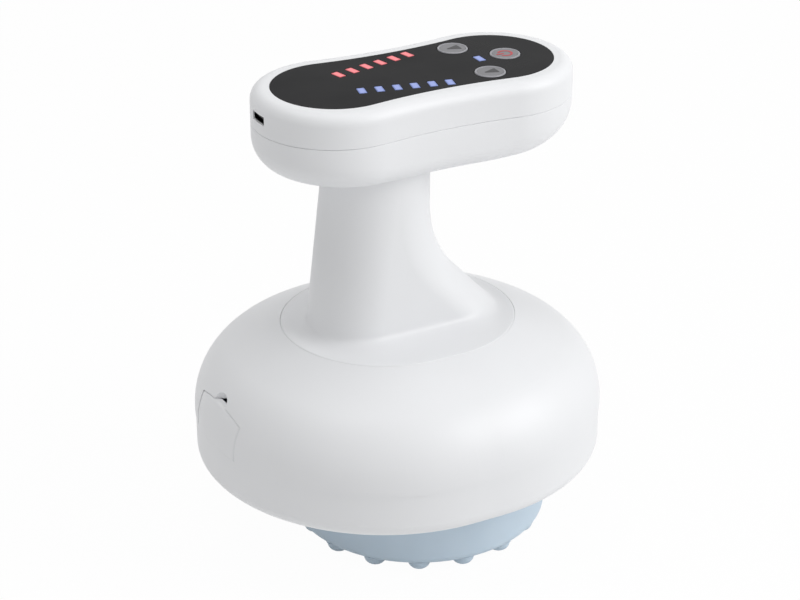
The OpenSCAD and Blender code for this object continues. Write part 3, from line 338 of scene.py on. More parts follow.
def handle_bowl(size):
    """Lower handle shell, a profile carried round the lobed plan: at each step the point is the plan's,
    moved out by the offset along its normal. From the inner floor up the inner wall, over the locating
    lip and the softened outer corner, down the outside and round the bottom edge, whose radius eases from
    the waist's to either end's. The loop closes through the round recess that takes the neck's end, and
    the cable's hole above it."""
    floor_t = 3.6
    lip_t, lip_h, lip_gap = 1.2, 2.5, 0.1
    corner_r, seam_gap = 0.4, 0.15
    seat_r, cable_r = size.neck_r + 0.15, 9.0
    # The bottom edge keeps the waist's rounding this far either side of the middle
    even = 14.0

    plan, normal = lobed_plan(size)
    share = ease((np.abs(plan[:, 0]) - even) / (size.panel_len / 2 - even))
    end_r = np.where(plan[:, 0] > 0, size.front_low_r, size.rear_low_r)
    outer_r = size.waist_low_r + (end_r - size.waist_low_r) * share
    inner_r = outer_r - WALL
    floor_z = HANDLE_LOW + floor_t
    swing = np.radians(np.linspace(0, 90, 15))[:, None]
    inner_out = size.rim_w - WALL - inner_r * (1 - np.sin(swing))
    inner_z = floor_z + inner_r * (1 - np.cos(swing))
    outer_out = size.rim_w - outer_r * (1 - np.cos(swing))
    outer_z = HANDLE_LOW + outer_r * (1 - np.sin(swing))

    top = HANDLE_SEAM - seam_gap
    lip_out, lip_top = size.rim_w - WALL - lip_gap, HANDLE_SEAM + lip_h
    corner = arc((size.rim_w - corner_r, top - corner_r), corner_r, 90, 0, 6)
    rim = np.array([(lip_out - lip_t, lip_top), (lip_out, lip_top), (lip_out, top), *corner])
    all_round = np.ones_like(outer_r)
    offset = np.concatenate([inner_out, rim[:, :1] * all_round, outer_out])
    height = np.concatenate([inner_z, rim[:, 1:] * all_round, outer_z])
    x = HANDLE_X + plan[:, 0] + offset * normal[:, 0]
    y = plan[:, 1] + offset * normal[:, 1]
    skin = np.stack([x, y, height], axis=-1)

    way = np.stack([HANDLE_X + plan[:, 0] - NECK_X, plan[:, 1]], axis=-1)
    way /= np.linalg.norm(way, axis=1)[:, None]
    steps = ((seat_r, HANDLE_LOW), (seat_r, NECK_END), (cable_r, NECK_END), (cable_r, floor_z))
    hole = [raised((NECK_X, 0) + radius * way, z) for radius, z in steps]
    return tube(np.concatenate([skin, hole]), looped=True, sharp=50)


def neck_axes(z):
    """Centres of the neck's front and rear round ends at height z. The rear leans by one angle all the
    way. The front drops straight at first, follows an arc until it is steep, and keeps that slope."""
    straight, bend_r = 20.0, 43.8
    lean, steep = math.radians(6.9), math.radians(43)
    drop = np.clip(NECK_END - straight - z, 0, None)
    turn = bend_r * math.sin(steep)
    bent = bend_r - np.sqrt(bend_r**2 - np.minimum(drop, turn) ** 2)
    front = NECK_X + bent + np.clip(drop - turn, 0, None) * math.tan(steep)
    return front, NECK_X - (HANDLE_LOW - z) * math.tan(lean)


def neck_boss(size, turn):
    """A boss inside the neck's top for a screw from the handle: a post with a blind hole, revolved."""
    from_wall, post_r, hole_r = 5.4, 3.4, 1.5
    low, hole_low = NECK_END - 14.0, NECK_END - 10.0
    reach = size.neck_r - from_wall
    profile = [(post_r, low), (post_r, NECK_END), (hole_r, NECK_END), (hole_r, hole_low)]
    return tube(turned(profile, 48, (NECK_X + reach * math.cos(turn), reach * math.sin(turn))))


def neck_and_flange(size):
    """Neck and flange, a hollow tube of ovals with two round ends. Outside, the column runs down and its
    foot spreads along a quarter of a superellipse, 1 - cos and sin to the power 2/3 outwards and down, to
    the flange's softly rounded edge. Front and rear also keep the column's own slope s, by s d (1 - d
    cubed) at a share d of the way down. Inside, the same curves come back up, within the wall."""
    foot_top, inner_foot = 92.0, 90.4
    edge_r, flange_t, lip_w = 0.7, 2.6, 8.0
    fullness = 2 / 3
    # The inner foot stops just above the flange's underside
    clear = 0.01

    low = FLANGE_TOP - flange_t
    z = np.linspace(NECK_END, foot_top, 72)
    front, rear = neck_axes(z)
    # Closer steps at the top of the foot, where it leaves the column
    swing = np.linspace(0, 1, 33)[1:] ** 1.5 * np.pi / 2
    out = 1 - np.abs(np.cos(swing)) ** fullness
    down = np.sin(swing) ** fullness

    def foot(start_r, end_r, top, bottom):
        """Rows (front centre, rear centre, radius, height) down the foot."""
        radius = start_r + (end_r - start_r) * out
        ends = []
        for axis, end, way in ((front, BODY_FRONT, 1), (rear, BODY_REAR, -1)):
            slope = abs((axis[-1] - axis[-2]) / (z[-1] - z[-2]))
            start, stop = axis[-1] + way * start_r, end + way * end_r
            lead = way * slope * (top - bottom) * down * (1 - down**3)
            ends.append(start + (stop - start) * out + lead - way * radius)
        return np.stack([*ends, radius, top + (bottom - top) * down], axis=-1)

    reach = size.flange_r - edge_r
    inner = size.neck_r - WALL
    edge = arc((reach, FLANGE_TOP - edge_r), edge_r, 80, 0, 6)
    rim = np.concatenate([edge, [(size.flange_r, low), (size.flange_r - lip_w, low)]])
    ends = np.broadcast_to([BODY_FRONT, BODY_REAR], (len(rim), 2))
    rows = [
        np.stack([front, rear, np.full_like(z, size.neck_r), z], axis=-1),
        foot(size.neck_r, reach, foot_top, FLANGE_TOP),
        np.concatenate([ends, rim], axis=-1),
        foot(inner, size.flange_r - lip_w, inner_foot, low + clear)[::-1],
        # Two rows are left out where the inner column meets its foot
        np.stack([front, rear, np.full_like(z, inner), z], axis=-1)[::-1][2:],
    ]
    front, rear, radius, height = np.concatenate(rows).T[:, :, None]
    half = np.linspace(-np.pi / 2, np.pi / 2, size.around // 2)
    x = np.concatenate([front + radius * np.cos(half), rear - radius * np.cos(half)], axis=1)
    y = np.concatenate([radius * np.sin(half), -radius * np.sin(half)], axis=1)
    return tube(np.stack([x, y, np.broadcast_to(height, x.shape)], axis=-1), looped=True, sharp=50)


# Keys and their marks


def key_cap(size, centre, low):
    """A key's cap, revolved: plunger, flange under the panel, upright side, and a face a little below the
    rim's top."""
    plunger_r, flange_t, flange_w, flange_gap = 1.8, 1.0, 1.0, 0.15
    under_rim, step = 0.4, 0.3
    flange = PANEL_LOW - flange_gap
    face = PANEL_TOP + size.key_rise - KEY_DIP
    profile = [
        (plunger_r, low),
        (plunger_r, flange - flange_t),
        (size.key_r + flange_w, flange - flange_t),
        (size.key_r + flange_w, flange),
        (size.key_r - under_rim, flange),
        (size.key_r - under_rim, face - step),
        (size.key_r - KEY_RIM_W, face - step),
        (size.key_r - KEY_RIM_W, face),
    ]
    return tube(turned(profile, size.around // 2, centre), sharp=60)


def key_rim(size, centre):
    """The raised ring of a key, a round-topped section revolved: half a circle on short upright sides."""
    sunk = 1.6
    half, top = KEY_RIM_W / 2, PANEL_TOP + size.key_rise
    low = PANEL_TOP - sunk
    middle = size.key_r - half
    crown = arc((middle, top - half), half, 0, 180, 15)
    profile = [(middle + half, low), *crown, (middle - half, low)]
    return tube(turned(profile, size.around // 2, centre), looped=True, sharp=70)


def printed(outline, centre, height):
    """A printed mark: a closed outline (x, y) round a centre, as a thin plate on a face."""
    outline = outline + np.asarray(centre)
    return tube(np.array([raised(outline, height), raised(outline, height + PRINT_T)]), sharp=30)


def ring_part(radius, width, start, end, steps=64):
    """Outline of a part of a ring from one angle to another, its ends rounded by half circles."""
    turn = np.radians(np.linspace(start, end, steps))
    spoke = np.stack([np.cos(turn), np.sin(turn)], axis=-1)
    tip = np.radians(np.linspace(0, 180, 9))[1:-1, None]
    half = width / 2

    def end_cap(at, way, flip):
        """The half circle past one end: way along the ring or against it, flip from outside or inside."""
        along = np.array([-spoke[at][1], spoke[at][0]]) * way
        return radius * spoke[at] + half * (flip * np.cos(tip) * spoke[at] + np.sin(tip) * along)

    outer, inner = (radius + half) * spoke, (radius - half) * spoke[::-1]
    return np.concatenate([outer, end_cap(-1, 1, 1), inner, end_cap(0, -1, -1)])


def capsule(length, width, steps=9):
    """Outline of a bar along X with round ends."""
    tip = np.radians(np.linspace(-90, 90, steps))
    cap = np.stack([np.cos(tip), np.sin(tip)], axis=-1) * width / 2
    reach = np.array([length / 2 - width / 2, 0])
    return np.concatenate([reach + cap, -reach - cap])


def power_symbol(size, centre, face):
    """The power symbol: a ring left open towards the rear, and a bar out through the opening."""
    half_turn, bar_back = 138, np.array([2.0, 0.0])
    ring = ring_part(size.symbol_r, size.stroke, -half_turn, half_turn)
    bar = capsule(size.symbol_bar, size.stroke)
    return [printed(ring, centre, face), printed(bar, centre - bar_back, face)]


def arrow(size, centre, face, corner=0.3, steps=7):
    """An arrow: a triangle pointing to -X, each corner rounded by an arc whose centre stands inside it."""
    half, base = size.arrow_len / 2, size.arrow_w / 2
    points = np.array([(-half, 0.0), (half, -base), (half, base)])
    lean = math.atan2(base, size.arrow_len)
    down, right = math.pi * 1.5 - lean, math.pi / 2 + lean
    corners_from_to = ((right, down), (down, math.pi * 2), (0, right))
    outline = []
    for point, (start, end) in zip(points, corners_from_to):
        angle = np.linspace(start, end, steps)
        spoke = np.stack([np.cos(angle), np.sin(angle)], axis=-1)
        middle = (start + end) / 2
        depth = corner / math.cos((end - start) / 2)
        inside = point - depth * np.array([math.cos(middle), math.sin(middle)])
        outline.append(inside + corner * spoke)
    return [printed(np.concatenate(outline), centre, face)]


# Lit bars and charging socket


def lit_bar(size, centre, turn):
    """A lit bar: a lens with round corners and a softened top edge, and a narrower guide down to its
    emitter. The plan is a rounded rectangle, carried up and drawn in along a quarter circle at the top.
    Returns the tube, and its glow: 0 up to the top's edge, rising to 1 on the last ring inside it."""
    guide_in, clear, soft, corner, least_corner = 0.4, 0.04, 0.12, 0.5, 0.1
    border, core = (0.5, 0.55), (0.9, 1.0)
    swing = np.radians(np.linspace(0, 90, 5))
    top_in = clear + soft * (1 - np.cos(swing))
    top_z = PANEL_TOP - soft * (1 - np.sin(swing))
    insets = [guide_in, guide_in, clear, *top_in, border[0], core[0]]
    heights = [BAR_LOW, PANEL_LOW, PANEL_LOW, *top_z, PANEL_TOP, PANEL_TOP]
    swivel = np.array([[math.cos(turn), math.sin(turn)], [-math.sin(turn), math.cos(turn)]])
    rings = []
    for inset, height in zip(insets, heights):
        width, length = size.bar_w - 2 * inset, size.bar_len - 2 * inset
        plan = round_rect(width, length, max(corner - inset, least_corner))
        rings.append(raised(plan @ swivel + centre, height))
    glow = np.zeros(len(rings))
    glow[-2:] = border[1], core[1]
    return tube(np.array(rings)), np.repeat(glow, len(rings[0]))


def bar_rows():
    """For each row its node, and each bar's centre and turn: six red bars at +Y and six blue ones at -Y,
    in rows that part from the rear on, and the status bar between the keys."""
    turn, pitch, bars = math.radians(12.6), 6.5, 6
    first_x, first_y = -27.8, 9.2
    rows = {}
    for name, side in (("red", 1), ("blue", -1)):
        along = [pitch * i for i in range(bars)]
        centres = [(first_x + s * math.cos(turn), side * (first_y + s * math.sin(turn))) for s in along]
        rows[name] = f"{name}_light_bars", [(centre, side * turn) for centre in centres]
    status = corners("status_light")[:, :2].mean(axis=0)
    return rows | {"status": ("status_light", [(status, 0.0)])}


def socket_parts():
    """The charging socket: a steel shell, which is a rounded slot carried along X as a hollow, and its
    contact tongue, a plate whose tip is drawn in."""
    mouth, back, z = -63.5, corners("usb_socket")[1, 0], 177.12
    width, height, thick = 8.6, 3.0, 0.3
    outer_r, inner_r = 1.4, 1.15
    outside = round_rect(width, height, outer_r) + (0, z)
    inside = round_rect(width - 2 * thick, height - 2 * thick, inner_r) + (0, z)
    # The outer edge of the mouth stands a little back, and the shell starts in front of the tongue's root
    set_back, root = 0.1, 0.5
    shell = [(inside, back + root), (outside, back + root), (outside, mouth + set_back), (inside, mouth)]
    shell = np.array([facing(outline, x) for outline, x in shell])

    tongue_w, tongue_t, tongue_corner = 6.6, 0.7, 0.2
    tip, taper, drawn_in = mouth + 0.9, 0.3, 0.15
    tongue = []
    for x, inset in ((back, 0.0), (tip + taper, 0.0), (tip, drawn_in)):
        outline = round_rect(tongue_w - inset, tongue_t - inset, tongue_corner) + (0, z)
        tongue.append(facing(outline, x))
    return tube(shell, looped=True), tube(np.array(tongue))


# Side cover


def rear_face(y, z):
    """Where the body's rear skin lies along X: a round end about its own centre, whose radius at height z
    follows the shoulder's arc above the belt."""
    rise = np.clip(z - BELT_TOP, 0, None)
    reach = BODY_R - SHOULDER_R + np.sqrt(SHOULDER_R**2 - rise**2)
    return BODY_REAR - np.sqrt(reach**2 - y**2)


def cover_outline(size, inset):
    """Outline (y, z) of the side cover, drawn in by inset, and by a sixth of it at the straight foot,
    where the cover meets the lower shell: straight sides under an arched top."""
    seam_gap = 0.2
    half, low = size.cover_w / 2 - inset, BODY_SEAM + seam_gap + inset / 6
    arch_r = (size.cover_w**2 / 4 + size.cover_crown**2) / (2 * size.cover_crown)
    middle = BODY_SEAM + size.cover_h - arch_r
    y = np.linspace(-half, half, 25)
    arch = np.stack([y, middle + np.sqrt((arch_r - inset) ** 2 - y**2)], axis=-1)
    climb = np.linspace(low, arch[0, 1], 10)[1:-1]
    left = np.stack([np.full_like(climb, -half), climb], axis=-1)
    foot = np.stack([y[::-1], np.full_like(y, low)], axis=-1)
    return np.concatenate([left, arch, left[::-1] * (-1, 1), foot])


def cover_plate(size):
    """The side cover's plate: its outline filled towards the middle on the body's own skin, an outer edge
    rounded by a quarter circle, and the same fill a wall's thickness further in."""
    edge_r = 0.9
    middle = np.array([0.0, BODY_SEAM + size.cover_h / 2])

    def ring(inset, depth, share=1.0):
        """The outline, drawn in by inset, at a share of the way out from the middle and sunk by depth."""
        outline = middle + share * (cover_outline(size, inset) - middle)
        return facing(outline, rear_face(*outline.T) + depth)

    fill = np.linspace(0.03, 1, 14)
    swing = np.radians(np.linspace(0, 90, 7))[1:]
    rings = [ring(edge_r, 0, share) for share in fill]
    rings += [ring(edge_r * (1 - np.sin(turn)), edge_r * (1 - np.cos(turn))) for turn in swing]
    rings += [ring(0, WALL, share) for share in fill[::-1]]
    return tube(np.array(rings))


def cover_tongue(side):
    """A tongue of the side cover: a soft-cornered rectangle carried along X, drawn in at its free tip."""
    length, y, z = 11.0, 14.1, 59.9
    thick, tall, corner, chamfer = 1.2, 7.0, 0.3, 0.4
    rings = []
    for x, inset in ((COVER_FRONT - length, 0), (COVER_FRONT - chamfer, 0), (COVER_FRONT, chamfer)):
        outline = round_rect(thick - inset, tall - 2 * inset, corner) + (side * y, z)
        rings.append(facing(outline, x))
    return tube(np.array(rings))


# Silicone head


def head_skin(size):
    """The silicone head, revolved: face, rounded lower edge, side leaning out to the top, then back
    inside over the lip that hooks on the carrier's rim, and across the inner floor."""
    low, face_t, edge_r, top_r = size.nub_h, 4.6, 3.5, 0.8
    pocket_r, lip_w, lip_low = 46.5, 3.0, 31.65
    # The flat face needs two rings of its own, and the flat ends close inside the first
    face_rings = (20.0, 40.0)
    profile = [
        *((radius, low) for radius in face_rings),
        *arc((size.head_r - edge_r, low + edge_r), edge_r, -90, -2, 12),
        *arc((size.head_top_r - top_r, HEAD_TOP - top_r), top_r, 0, 90, 6),
        (pocket_r - lip_w, HEAD_TOP),
        (pocket_r - lip_w, lip_low),
        (pocket_r, lip_low),
        (pocket_r, low + face_t),
        (face_rings[0], low + face_t),
    ]
    return tube(turned(profile, size.around), sharp=45)


def nub(size, centre):
    """A nub, revolved: a small concave fillet at its foot, then a dome down to its tip at height 0, whose
    radius goes as cosine to the power 0.8, a little fuller than a ball."""
    fillet_r, sunk, fullness = 0.5, 0.5, 0.8
    low, dome_r = size.nub_h, size.nub_r - fillet_r
    swing = np.radians(np.linspace(0, 90, 7))
    fillet_z = low - fillet_r * (1 - np.cos(swing))
    fillet = np.stack([size.nub_r - fillet_r * np.sin(swing), fillet_z], axis=-1)
    # The dome stops half a degree short, so that a small flat face closes its tip
    swing = np.radians(np.linspace(0, 89.5, 16))
    dome = np.stack([dome_r * np.cos(swing) ** fullness, (low - fillet_r) * (1 - np.sin(swing))], axis=-1)
    profile = np.concatenate([[(size.nub_r, low + sunk)], fillet, dome[1:]])
    return tube(turned(profile, 40, centre), sharp=50)


def nub_places(size):
    """One nub in the middle and three even rings, each ring turned a little further than the last."""
    ring_counts, ring_turn, from_edge = (1, 5, 10, 16), 12, 6.2
    outer = size.head_r - from_edge
    places = []
    for ring, count in enumerate(ring_counts):
        turn = np.radians(360 * np.arange(count) / count + ring_turn * ring + HEAD_TURN)
        radius = outer * ring / (len(ring_counts) - 1)
        places += list(zip(radius * np.cos(turn), radius * np.sin(turn)))
    return places


# Materials


def add(tree, kind, inputs=None, **settings):
    """Add a node of a kind, with its settings, and set or link each named or numbered input."""
    node = tree.nodes.new(kind)
    for name, value in settings.items():
        setattr(node, name, value)
    for name, value in (inputs or {}).items():
        if isinstance(value, bpy.types.NodeSocket):
            tree.links.new(value, node.inputs[name])
        else:
            node.inputs[name].default_value = value
    return node


def new_material(name, colour, roughness, **sockets):
    """A material whose Principled shader has a colour, a roughness and any other socket set directly."""
    material = bpy.data.materials.new(name)
    material.use_nodes = True
    shader = material.node_tree.nodes["Principled BSDF"]
    sockets.update(Base_Color=tuple(colour), Roughness=roughness)
    for socket, value in sockets.items():
        shader.inputs[socket.replace("_", " ")].default_value = value
    material.diffuse_color = tuple(colour)
    return material, material.node_tree, shader


def object_noise(tree, grain_mm, detail=2.0):
    """Noise on Object coordinates whose features are about grain_mm across."""
    spot = add(tree, "ShaderNodeTexCoord")
    scale = {"Vector": spot.outputs["Object"], "Scale": 1.0 / (grain_mm * MM), "Detail": detail}
    return add(tree, "ShaderNodeTexNoise", scale).outputs["Fac"]


def roughen(tree, shader, height, strength, depth_mm):
    """Bump the surface by a height field whose full depth is depth_mm."""
    bump = add(tree, "ShaderNodeBump", {"Height": height, "Strength": strength, "Distance": depth_mm * MM})
    tree.links.new(bump.outputs["Normal"], shader.inputs["Normal"])


def vary(tree, shader, socket, factor, low, high):
    """Run a socket between two numbers or two colours as a noise goes from 0.3 to 0.7, most of its range."""
    share = add(tree, "ShaderNodeMapRange", {"Value": factor, "From Min": 0.3, "From Max": 0.7})
    kind, side = ("FLOAT", "Float") if isinstance(low, float) else ("RGBA", "Color")
    mix = add(tree, "ShaderNodeMix", data_type=kind)
    sockets = {end.identifier: end for end in mix.inputs}
    tree.links.new(share.outputs["Result"], sockets["Factor_Float"])
    sockets[f"A_{side}"].default_value = low
    sockets[f"B_{side}"].default_value = high
    result = next(end for end in mix.outputs if end.enabled)
    tree.links.new(result, shader.inputs[socket])


def shaded(colour, share):
    """A linear colour moved a share of the way to white, or to black where the share is negative."""
    target = 1.0 if share > 0 else 0.0
    return (*(c + (target - c) * abs(share) for c in tuple(colour)[:3]), 1.0)


def moulded_plastic(name, colour, roughness, ior=1.53, grain=0.03):
    """Injection-moulded plastic: the mould's lapping leaves the gloss a little uneven over 30 mm, the
    pigment drifts by a shade, and a spark-eroded grain, drawn at 0.6 mm instead of 0.1, just dulls the
    highlights."""
    material, tree, shader = new_material(name, colour, roughness, IOR=ior)
    vary(tree, shader, "Roughness", object_noise(tree, 30.0), roughness - 0.03, roughness + 0.03)
    cloud = object_noise(tree, 45.0)
    vary(tree, shader, "Base Color", cloud, shaded(colour, -0.02), shaded(colour, 0.01))
    roughen(tree, shader, object_noise(tree, 0.6), grain, 0.02)
    return material


def smoked_acrylic(name, colour):
    """Smoked acrylic under an anti-glare hard coat, which takes most of its mirror away: near black, with
    the fine haze of a wiped surface, 20 mm from cloud to cloud."""
    material, tree, shader = new_material(name, colour, 0.3, IOR=1.49, Specular_IOR_Level=0.03)
    vary(tree, shader, "Roughness", object_noise(tree, 20.0, 4.0), 0.26, 0.34)
    cloud = object_noise(tree, 35.0)
    vary(tree, shader, "Base Color", cloud, shaded(colour, -0.06), shaded(colour, 0.005))
    return material


def lit_acrylic(name, colour, strength):
    """Diffusing acrylic lit from behind: a deeper border about 0.5 mm wide and a paler core over the
    diode, from the lens's own glow values, with the light a little uneven."""
    material, tree, shader = new_material(name, colour, 0.35, IOR=1.49, Emission_Strength=strength)
    glow = add(tree, "ShaderNodeAttribute", attribute_name="glow").outputs["Fac"]
    halved = add(tree, "ShaderNodeMath", {0: glow, 1: 0.5, 2: 0.2}, operation="MULTIPLY_ADD").outputs[0]
    cloud = {0: object_noise(tree, 2.6, 1.0), 1: 0.1, 2: halved}
    uneven = add(tree, "ShaderNodeMath", cloud, operation="MULTIPLY_ADD").outputs[0]
    vary(tree, shader, "Base Color", uneven, shaded(colour, -0.3), shaded(colour, 0.1))
    vary(tree, shader, "Emission Color", uneven, shaded(colour, -0.5), shaded(colour, 0.1))
    return material


def cast_silicone(name, colour):
    """Silicone rubber cast in a blasted mould: matt, light passes a little under its skin, and the
    mould's grain, drawn at 0.7 mm instead of 0.2, just shows."""
    soft = {"Subsurface_Weight": 0.1, "Subsurface_Scale": 0.004, "Subsurface_Radius": (0.6, 0.8, 1.0)}
    material, tree, shader = new_material(name, colour, 0.6, IOR=1.41, Sheen_Weight=0.06, **soft)
    cloud = object_noise(tree, 18.0, 3.0)
    vary(tree, shader, "Base Color", cloud, shaded(colour, -0.03), shaded(colour, 0.04))
    vary(tree, shader, "Roughness", object_noise(tree, 9.0), 0.56, 0.66)
    roughen(tree, shader, object_noise(tree, 0.7, 4.0), 0.25, 0.03)
    return material


def drawn_metal(name, hex_colour, roughness):
    """Metal with the fine parallel marks of drawing or turning, 0.25 mm apart and sixty times as long,
    which spread its highlights along them."""
    material, tree, shader = new_material(name, linear(hex_colour), roughness, Metallic=1.0)
    spot = add(tree, "ShaderNodeTexCoord")
    across = 1 / (0.25 * MM)
    scale = {"Vector": spot.outputs["Object"], "Scale": (across, across, across / 60)}
    stretched = add(tree, "ShaderNodeMapping", scale).outputs["Vector"]
    lines = {"Vector": stretched, "Scale": 1.0, "Detail": 2.0}
    marks = add(tree, "ShaderNodeTexNoise", lines).outputs["Fac"]
    vary(tree, shader, "Roughness", marks, roughness - 0.08, roughness + 0.1)
    roughen(tree, shader, marks, 0.2, 0.01)
    return material


def circuit_laminate(name, hex_colour):
    """Glass-epoxy laminate under green solder mask: glossy, with its 1.2 mm weave just showing."""
    colour = linear(hex_colour)
    material, tree, shader = new_material(name, colour, 0.35, IOR=1.5)
    vary(tree, shader, "Base Color", object_noise(tree, 1.2, 1.0), colour, shaded(colour, 0.1))
    return material


def make_finishes(colours):
    """A finish for each material slot of the record, and those that only the new pieces have."""
    return {
        # A fine mould texture gives the shells a soft, even sheen
        "white_shell": moulded_plastic("white_moulded_abs", colours.shell, 0.45),
        "panel_glass": smoked_acrylic("smoked_hard_coated_acrylic", colours.panel),
        # The keys are harder and glossier than the shells, and their polished rims catch the light
        "key_grey": moulded_plastic("grey_moulded_polycarbonate", colours.key, 0.4, 1.58),
        "key_rim": moulded_plastic("pale_grey_polished_polycarbonate", colours.rim, 0.3, 1.58),
        # Printed ink is flat and dull
        "arrow_print": moulded_plastic("charcoal_pad_printed_ink", colours.arrow, 0.5),
        "power_print": moulded_plastic("red_pad_printed_ink", colours.power, 0.5),
        "red_lens": lit_acrylic("red_diffusing_acrylic", colours.red, 0.35),
        "blue_lens": lit_acrylic("blue_diffusing_acrylic", colours.blue, 0.2),
        "silicone": cast_silicone("pale_blue_cast_silicone", colours.silicone),
        "circuit_board": circuit_laminate("green_circuit_laminate", "#1E5B34"),
        # From the dull shine of plating and sintered bronze to the tight highlight of ground steel
        "steel": drawn_metal("zinc_plated_steel", "#B9BBBD", 0.38),
        "ground_steel": drawn_metal("ground_steel", "#C4C6C9", 0.22),
        "bronze": drawn_metal("sintered_bronze", "#9A7340", 0.45),
        "brass": drawn_metal("machined_brass", "#C8A25C", 0.3),
        "nickel": drawn_metal("nickel_plated_steel", "#CFC9BA", 0.25),
        # The socket's nickel is painted near black: painted shade for the dark inside of the slot's mouth
        "socket_nickel_painted_shade": drawn_metal("nickel_plating_darkened_by_painted_shade", "#3A3A3A", 0.3),
        # Waxy acetal, dull nylon, glossy wrapping film, matt epoxy and smooth vinyl
        "ivory_plastic": moulded_plastic("ivory_moulded_acetal", linear("#E4E1D6"), 0.45, 1.48),
        "dark_plastic": moulded_plastic("black_moulded_nylon", linear("#232325"), 0.5),
        "cell_wrap": moulded_plastic("blue_shrink_wrap", linear("#2B62A8"), 0.3),
        "chip_black": moulded_plastic("black_moulded_epoxy", linear("#151516"), 0.6),
        "cable_black": moulded_plastic("black_extruded_vinyl", linear("#17171A"), 0.45),
    }


def finish(slot):
    """The finish that the finishes step made for a slot."""
    return bpy.data.materials[bpy.context.scene["massager_finishes"][slot]]


# Floor and light


def background_rays(tree):
    """1 for rays that see the plain background: the camera's, and those the object mirrors or passes."""
    path = add(tree, "ShaderNodeLightPath").outputs
    rays = path["Is Camera Ray"]
    for other in ("Is Glossy Ray", "Is Transmission Ray"):
        rays = add(tree, "ShaderNodeMath", {0: rays, 1: path[other]}, operation="MAXIMUM").outputs[0]
    return rays


def paper_floor():
    """Matt white paper. The background's rays see it mostly as plain white, and the small rest of its own
    shading keeps a faint shadow."""
    material, tree, shader = new_material("matt_white_paper", linear("#F2F2F2"), 0.9)
    vary(tree, shader, "Base Color", object_noise(tree, 8.0, 3.0), linear("#F0F0F0"), linear("#F4F4F4"))
    rays = background_rays(tree)
    share = add(tree, "ShaderNodeMath", {0: rays, 1: FLOOR_WHITE}, operation="MULTIPLY").outputs[0]
    glow = add(tree, "ShaderNodeEmission", {"Color": (1, 1, 1, 1), "Strength": 1.0}).outputs[0]
    blend = add(tree, "ShaderNodeMixShader", {0: share, 1: shader.outputs[0], 2: glow})
    tree.links.new(blend.outputs[0], tree.nodes["Material Output"].inputs["Surface"])
    return material


def white_studio():
    """A white world, dimmer as it lights the object than as the background's rays see it."""
    world = bpy.data.worlds.new("studio")
    world.use_nodes = True
    tree = world.node_tree
    background = tree.nodes["Background"]
    background.inputs["Color"].default_value = (1, 1, 1, 1)
    levels = {"Value": background_rays(tree), "To Min": WORLD_LIGHT, "To Max": WORLD_SEEN}
    level = add(tree, "ShaderNodeMapRange", levels)
    tree.links.new(level.outputs["Result"], background.inputs["Strength"])
    return world


def softbox(name, at, power):
    """A square lamp at a place, facing the object's middle."""
    lamp = bpy.data.lights.new(name, "AREA")
    lamp.shape = "SQUARE"
    lamp.size = SOFTBOX_SIDE
    lamp.energy = power
    aim = Vector(SOFTBOX_AIM) - Vector(at)
    turn = aim.to_track_quat("-Z", "Y").to_matrix().to_4x4()
    place(name, lamp).matrix_world = Matrix.Translation(at) @ turn


# The steps


class MASSAGER_OT_camera(Operator):
    """Place the photograph's camera: turned about Z by its azimuth, tipped down by its elevation"""

    bl_idname = "massager.camera"
    bl_label = "Camera"

    def execute(self, context):
        camera = bpy.data.cameras.new("photo_camera")
        camera.sensor_width = SENSOR_W
        camera.lens = FOCAL_PIXELS * SENSOR_W / PHOTO_W
        camera.clip_start, camera.clip_end = CAMERA_NEAR, CAMERA_FAR
        made = place("photo_camera", camera)
        turn = Matrix.Rotation(math.radians(CAMERA_AZIMUTH), 4, "Z")
        tip = Matrix.Rotation(math.radians(90 - CAMERA_ELEVATION), 4, "X")
        roll = Matrix.Rotation(math.radians(CAMERA_ROLL), 4, "Z")
        made.matrix_world = Matrix.Translation(CAMERA_AT) @ turn @ tip @ roll
        context.scene.camera = made
        return {"FINISHED"}


class MASSAGER_OT_finishes(Operator):
    """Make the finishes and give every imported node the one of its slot"""

    bl_idname = "massager.finishes"
    bl_label = "Finishes"

    def execute(self, context):
        made = make_finishes(context.scene.massager_colours)
        context.scene["massager_finishes"] = {slot: material.name for slot, material in made.items()}
        slots = {row["node"]: row["material_slot"] for row in frame["record"]["subparts"]}
        for name, node in NODES.items():
            node.data.materials.clear()
            node.data.materials.append(made[slots[name]])
            node.data.polygons.foreach_set("material_index", np.zeros(len(node.data.polygons), np.int32))
        return {"FINISHED"}


class MASSAGER_OT_shells(Operator):
    """Make the lower handle shell with its easing round edge, and the swept neck with its soft flange"""

    bl_idname = "massager.shells"
    bl_label = "Handle shell and neck"

    def execute(self, context):
        size = sizes(context)
        white = "housing", "white_shell", finish("white_shell")
        piece("lower_handle_shell", [handle_bowl(size)], *white, ["handle_bottom_shell"])
        bosses = [neck_boss(size, turn) for turn in np.radians([45, 135, 225, 315])]
        piece("swept_neck", [neck_and_flange(size), *bosses], *white, ["neck_shell"])
        return {"FINISHED"}


class MASSAGER_OT_keys(Operator):
    """Make the dished keys with their paler rims and printed marks"""

    bl_idname = "massager.keys"
    bl_label = "Keys"

    def execute(self, context):
        size = sizes(context)
        face = PANEL_TOP + size.key_rise - KEY_DIP
        for key in ("power_key", "rear_arrow_key", "front_arrow_key"):
            box = corners(key)
            centre, low = box[:, :2].mean(axis=0), box[0, 2]
            piece(f"{key}_cap", [key_cap(size, centre, low)], key, "key_grey", finish("key_grey"), [key])
            piece(f"{key}_rim", [key_rim(size, centre)], key, "key_grey", finish("key_rim"))
            if key == "power_key":
                piece("power_mark", power_symbol(size, centre, face), key, None, finish("power_print"))
            else:
                piece(f"{key}_mark", arrow(size, centre, face), key, None, finish("arrow_print"))
        return {"FINISHED"}


